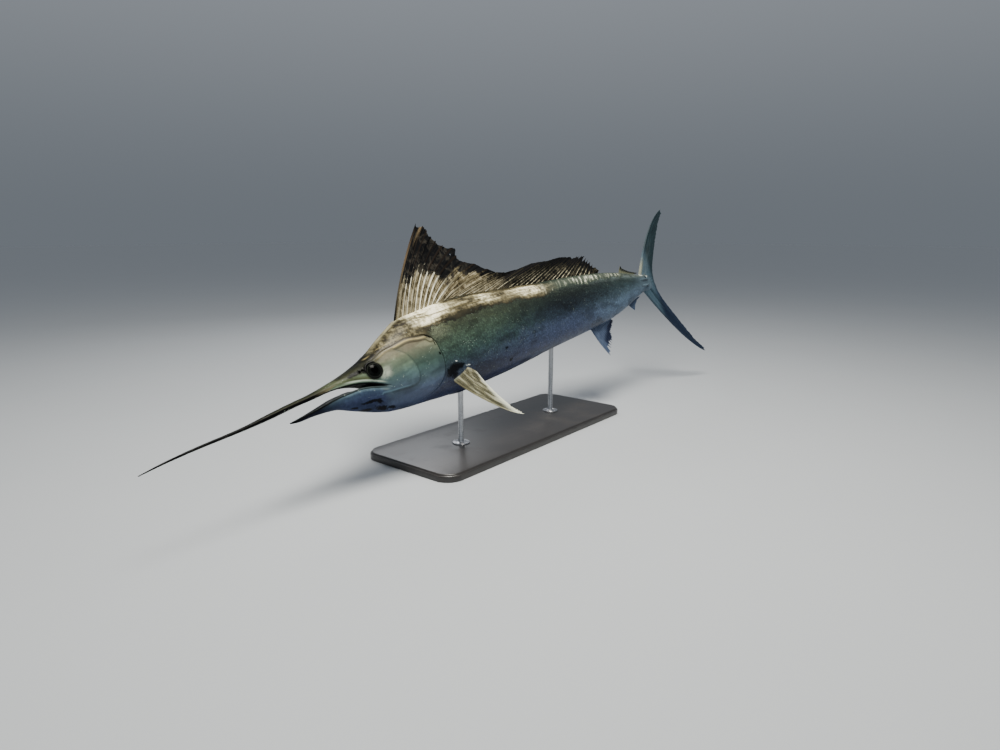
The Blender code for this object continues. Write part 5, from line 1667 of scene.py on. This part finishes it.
colour = colour.lay((150, 166, 168), shader.group(FLECKS, Place=fish, Amount=0.4)["Mask"])
shader.paint(base_color=colour)

for name, node, sign, tips, lead_bow, seed in (
        ("tail_fin_upper", "tail_lobe_upper", 1, UPPER_TIPS, UPPER_BOW, 8),
        ("tail_fin_lower", "tail_lobe_lower", -1, LOWER_TIPS, LOWER_BOW, 9)):
    build_fin(name, lobe_plan(sign, tips, lead_bow), TAIL_HALVES, tail_material, "tail_fin", (node,),
              lambda across: 0.02, 0.003, seed)

# %% [markdown]
# The pectoral fins are long pointed blades behind the gill covers. The left one
# hangs down and back as the fish steers. The right one lies folded along the flank.
# They are tan, streaked dark along the rays, with a pale tip. The pelvic fins are
# two thin straps that lie in a groove of the belly.

# %% Pectoral and pelvic fins
PECTORAL_ROOT = ((0, 26.6, -4.35), (1, 29.9, -3.55))
LEFT_TIPS = ((0, 37.1, 5.15, -14.35), (0.35, 35.0, 4.92, -12.3), (0.6, 33.2, 4.65, -9.7),
             (0.8, 31.7, 4.39, -7.1), (1, 30.8, 4.19, -5.0))
RIGHT_TIPS = ((0, 40.8, 2.75, -6.6), (0.35, 38.6, 3.15, -5.5), (0.6, 36.4, 3.45, -4.6),
              (0.8, 34.2, 3.75, -3.9), (1, 32.2, 4.00, -3.4))
LEFT_BOW = (-1.75, 0.55, -1.30)
RIGHT_BOW = (-0.30, 0.30, -0.75)
PECTORAL_OUT = tuple(Vector((0.1, 1.0, 0.05)).normalized())
PECTORAL_RAYS = 17
PECTORAL_SINK = 0.42
PECTORAL_TEAR = 0.02
PECTORAL_HALVES = (0.0030, 0.0030, 0.0007, 0.0022, 0.0022, 0.0004, 1.6)
PELVIC_START = 27.6
PELVIC_END = 54.0
PELVIC_HEIGHT = 0.30
PELVIC_SIDE = 0.12
PELVIC_HALVES = (0.0008, 0.0008, 0.0006, 0.0005, 0.0005, 0.0004, 1.0)


def pectoral_plan(side, tips, bend):
    """Plan of a pectoral fin, rooted just inside the skin."""

    def root(across):
        place, height = straight(PECTORAL_ROOT, across, 1), straight(PECTORAL_ROOT, across, 2)
        return (place, side * (float(flank(place, height)) - PECTORAL_SINK), height)

    def tip(across):
        place, out, height = (straight(tips, across, column) for column in (1, 2, 3))
        return (place, side * out, height)

    def bow(across):
        fade = 1 - across
        return (bend[0] * fade, side * bend[1], bend[2] * fade)

    return FinPlan(root, tip, bow, np.linspace(0, 1, PECTORAL_RAYS), 0.7, 0.15)


class PelvicPlan(FinPlan):
    """Plan of a long thin pelvic fin on edge below the belly."""

    def __init__(self, side):
        super().__init__(None, None, None, np.linspace(0, 1, 4))
        self.side = side

    def centre(self, across, along):
        places = PELVIC_START + (PELVIC_END - PELVIC_START - 2 * across) * np.asarray(along)
        grown = np.minimum(1.0, 0.4 + 8 * np.asarray(along))
        deep = PELVIC_HEIGHT * grown * (1 - 0.6 * np.asarray(along)) * across
        height = curve(BODY, places, BOTTOM) + 0.05 - deep
        return np.column_stack((places, np.full(len(places), self.side * PELVIC_SIDE), height))


pectoral_material, shader, masks = fin_base("pectoral_membrane", specular_ior_level=0.22)
across, along, streak = shader.carried("across"), shader.carried("along"), masks["Streak"]
tan = masks["Blotch"].ramp((0.35, 84, 80, 56), (0.50, 142, 138, 106), (0.64, 208, 206, 174))
colour = streak.ramp((0.40, 20, 18, 11), (0.56, 136, 132, 104)).lay(tan, masks["Ray"])
broad = shader.value("ShaderNodeCombineXYZ", {0: across * 5.5, 1: along * 2.2}).noise(1.0, 2.0, 0.55)
colour = colour.dimmed(broad.span(0.54, 0.40, 0.0, 0.85))
colour = colour.lay((214, 212, 182), broad.span(0.50, 0.62, 0.0, 0.5))
upper_shade = across.span(0.35, 0.85) * along.span(0.75, 0.35) * along.span(0.06, 0.16)
colour = colour.lay((40, 33, 20), upper_shade, streak.span(0.62, 0.40), 0.8)
rims = shader.maths("MAXIMUM", across.span(0.06, 0.01), across.span(0.94, 0.99))
colour = colour.lay((176, 168, 128), rims, 0.35)
colour = colour.lay((236, 238, 214), (along + streak * 0.3).span(0.86, 1.12))
colour = colour.lay((150, 156, 140), along.span(0.08, 0.0))
shader.paint(base_color=colour)

for name, side, tips, bend in (("left", -1, LEFT_TIPS, LEFT_BOW), ("right", 1, RIGHT_TIPS, RIGHT_BOW)):
    build_fin("pectoral_fin_" + name, pectoral_plan(side, tips, bend), PECTORAL_HALVES, pectoral_material,
              "pectoral_fins", ("pectoral_" + name,), lambda across: PECTORAL_TEAR, 0.003, 10, PECTORAL_OUT)

pelvic_material, shader, masks = fin_base("pelvic_membrane", specular_ior_level=0.2)
shader.paint(base_color=masks["Streak"].ramp((0.35, 26, 30, 46), (0.65, 52, 62, 90)))
for name, side in (("left", -1), ("right", 1)):
    build_fin("pelvic_fin_" + name, PelvicPlan(side), PELVIC_HALVES, pelvic_material, "pelvic_fins",
              ("pelvic_" + name,), lambda across: 0.03, 0.002, 11, rows=90)

# %% [markdown]
# The stand is what a museum workshop would make: a heavy wooden board painted satin
# black, and two steel rods. Each rod is screwed down through a round foot plate, and
# ends in the underside of the body. Board and rods take their places from the solids
# they replace, so they can't miss them.

# %% Board
BOARD_CORNER = 0.05
BOARD_CORNER_STEPS = 20
BOARD_PROFILE = (
    (0.0, 0.0015), (0.0015, 0.0), (0.0150, 0.0), (0.0163, 0.0006), (0.0172, 0.0030), (0.0180, 0.0036),
    (0.0205, 0.0044), (0.0216, 0.0056), (0.0220, 0.0075),
)
BOARD_SHARP_EDGE = math.radians(35)


def board_outline(inset, level):
    """Rounded rectangle of the board, drawn in by an inset."""
    low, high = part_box("stand_base")
    centre = (low + high) / 2
    half = (high - low) / 2
    points = []
    for sx, sy, start in ((1, 1, 0), (-1, 1, 90), (-1, -1, 180), (1, -1, 270)):
        for k in range(BOARD_CORNER_STEPS + 1):
            angle = math.radians(start + 90 * k / BOARD_CORNER_STEPS)
            radius = BOARD_CORNER - inset
            points.append((centre.x + sx * (half.x - BOARD_CORNER) + radius * math.cos(angle),
                           centre.y + sy * (half.y - BOARD_CORNER) + radius * math.sin(angle), level))
    return points


def ringed_mesh(name, rings):
    """Closed mesh over rings of points, with a flat face on the first and the last."""
    bm = bmesh.new()
    layers = [[bm.verts.new(point) for point in ring] for ring in rings]
    bridge(bm, layers)
    bm.faces.new(layers[0])
    bm.faces.new(layers[-1])
    return finished_mesh(bm, name)


def wear_group():
    shader, given = new_group(Shader, "handling marks", {"Place": "Vector", "Scale": "Float"},
                              {"Mask": "Float"})
    return shader.result(Mask=given["Place"].noise(given["Scale"], 5.0, 0.65, 0.3).span(0.50, 0.72))


WEAR = wear_group()
board_material, shader = new_material("black_board", coat_weight=0.3, coat_roughness=0.35)
place = shader.value("ShaderNodeTexCoord", output="Object")
worn = shader.group(WEAR, Place=place, Scale=9.0)["Mask"]
grain = place.noise(1.6, 4.0, 0.6, 0.6, (3.0, 60.0, 60.0))
paint = shader.mix(grain, (30, 28, 27), (44, 41, 39))
shader.paint(base_color=paint.lay((70, 66, 62), worn, 0.25), roughness=worn.span(0.0, 1.0, 0.38, 0.5),
             normal=shader.bump(grain, 0.0004, 0.5))

board_mesh = ringed_mesh("stand_board", [board_outline(inset, level) for level, inset in BOARD_PROFILE])
board = place_object("stand_board", board_mesh, board_material, "stand_wood", "stand_base")
board_mesh.set_sharp_from_angle(angle=BOARD_SHARP_EDGE)
print("board", [round(size, 3) for size in board.dimensions])

# %% Rods with foot plates
ROD_RADIUS = 0.008
ROD_SINK = 0.004
ROD_SIDES = 48
ROD_SHARP_EDGE = math.radians(40)
PLATE_RADIUS = 0.026
PLATE_THICKNESS = 0.0035
PLATE_BEVEL = 0.0008

steel_material, shader = new_material("brushed_steel", metallic=1.0)
place = shader.value("ShaderNodeTexCoord", output="Object")
brush = place.noise(1.0, 3.0, 0.6, stretch=(60.0, 60.0, 1600.0))
worn = shader.group(WEAR, Place=place, Scale=30.0)["Mask"]
shader.paint(base_color=shader.mix(worn, (182, 183, 186), (160, 160, 162)),
             roughness=brush.span(0.3, 0.7, 0.24, 0.42), normal=shader.bump(brush, 0.0002, 0.4))


def circle(centre, radius, level, sides=ROD_SIDES):
    turns = (2 * math.pi * k / sides for k in range(sides))
    return [(centre[0] + radius * math.cos(turn), centre[1] + radius * math.sin(turn), level)
            for turn in turns]


def rod_mesh(node):
    """Rod with its foot plate, from the board up into the body."""
    low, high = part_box(node)
    centre = ((low.x + high.x) / 2, (low.y + high.y) / 2)
    floor_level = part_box("stand_base")[1].z
    plate_top = floor_level + PLATE_THICKNESS
    profile = ((PLATE_RADIUS, floor_level), (PLATE_RADIUS, plate_top - PLATE_BEVEL),
               (PLATE_RADIUS - PLATE_BEVEL, plate_top), (ROD_RADIUS + 0.0030, plate_top),
               (ROD_RADIUS + 0.0012, plate_top + 0.0008), (ROD_RADIUS + 0.0002, plate_top + 0.0030),
               (ROD_RADIUS, plate_top + 0.0034), (ROD_RADIUS, high.z + ROD_SINK))
    rings = [circle(centre, radius, level) for radius, level in profile]
    return ringed_mesh(node, rings), (*centre, plate_top)


print("rods", round(2 * ROD_RADIUS * 1000), "mm thick")

# %% [markdown]
# The foot plates are held by small countersunk screws. A screw is the same thing
# many times over, so it is drawn once as a turned head with a cross in it, and a
# Geometry Nodes tree sets copies of it on a circle, with the circle's size and the
# number of screws as inputs. The copies are made real at the end, because only real
# faces are kept with the model.

# %% Screws
SCREW_RADIUS = 0.0030
SCREW_SLOT = 0.0006
SCREW_STEPS = 8
SCREW_SIDES = 32
SCREW_SUNK = 0.0002
SCREW_CIRCLE = 0.019
SCREW_COUNT = 4


def crossed(point):
    """Point of a screw's head, lowered where it lies in the cross."""
    x, y, z = point
    in_cross = min(abs(x), abs(y)) < SCREW_SLOT and max(abs(x), abs(y)) < SCREW_RADIUS * 0.62
    return (x, y, z - SCREW_SLOT * (in_cross and z > 0))


def screw_mesh():
    """Head of one screw: a low dome with a cross sunk into it."""
    turns = [math.pi / 2 * k / SCREW_STEPS for k in range(SCREW_STEPS)]
    rings = [circle((0, 0), SCREW_RADIUS * math.cos(turn), SCREW_RADIUS * 0.35 * math.sin(turn), SCREW_SIDES)
             for turn in turns]
    return ringed_mesh("screw", [[crossed(point) for point in ring] for ring in rings])


def build_screw_tree():
    inputs = {"Geometry": "Geometry", "Count": "Int", "Radius": "Float", "Material": "Material"}
    nodes, given = new_group(Geometry, "screws on a circle", inputs, {"Geometry": "Geometry"})
    ring = nodes.value("GeometryNodeMeshCircle", {"Vertices": given["Count"], "Radius": given["Radius"]})
    copies = nodes.value("GeometryNodeInstanceOnPoints", {"Points": ring, "Instance": given["Geometry"]})
    return nodes.real(copies, given["Material"])


SCREWS = build_screw_tree()
for node in ("stand_rod_front", "stand_rod_rear"):
    mesh, plate_centre = rod_mesh(node)
    place_object(node + "_steel", mesh, steel_material, "stand_steel", node)
    mesh.set_sharp_from_angle(angle=ROD_SHARP_EDGE)
    inputs = {"Count": SCREW_COUNT, "Radius": SCREW_CIRCLE, "Material": steel_material}
    screws = grown(screw_mesh(), SCREWS, inputs)
    screws.transform(Matrix.Translation(Vector(plate_centre) - Vector((0, 0, SCREW_SUNK))))
    place_object(node + "_screws", screws, steel_material, "stand_steel")
    print(node, "with", SCREW_COUNT, "screws")
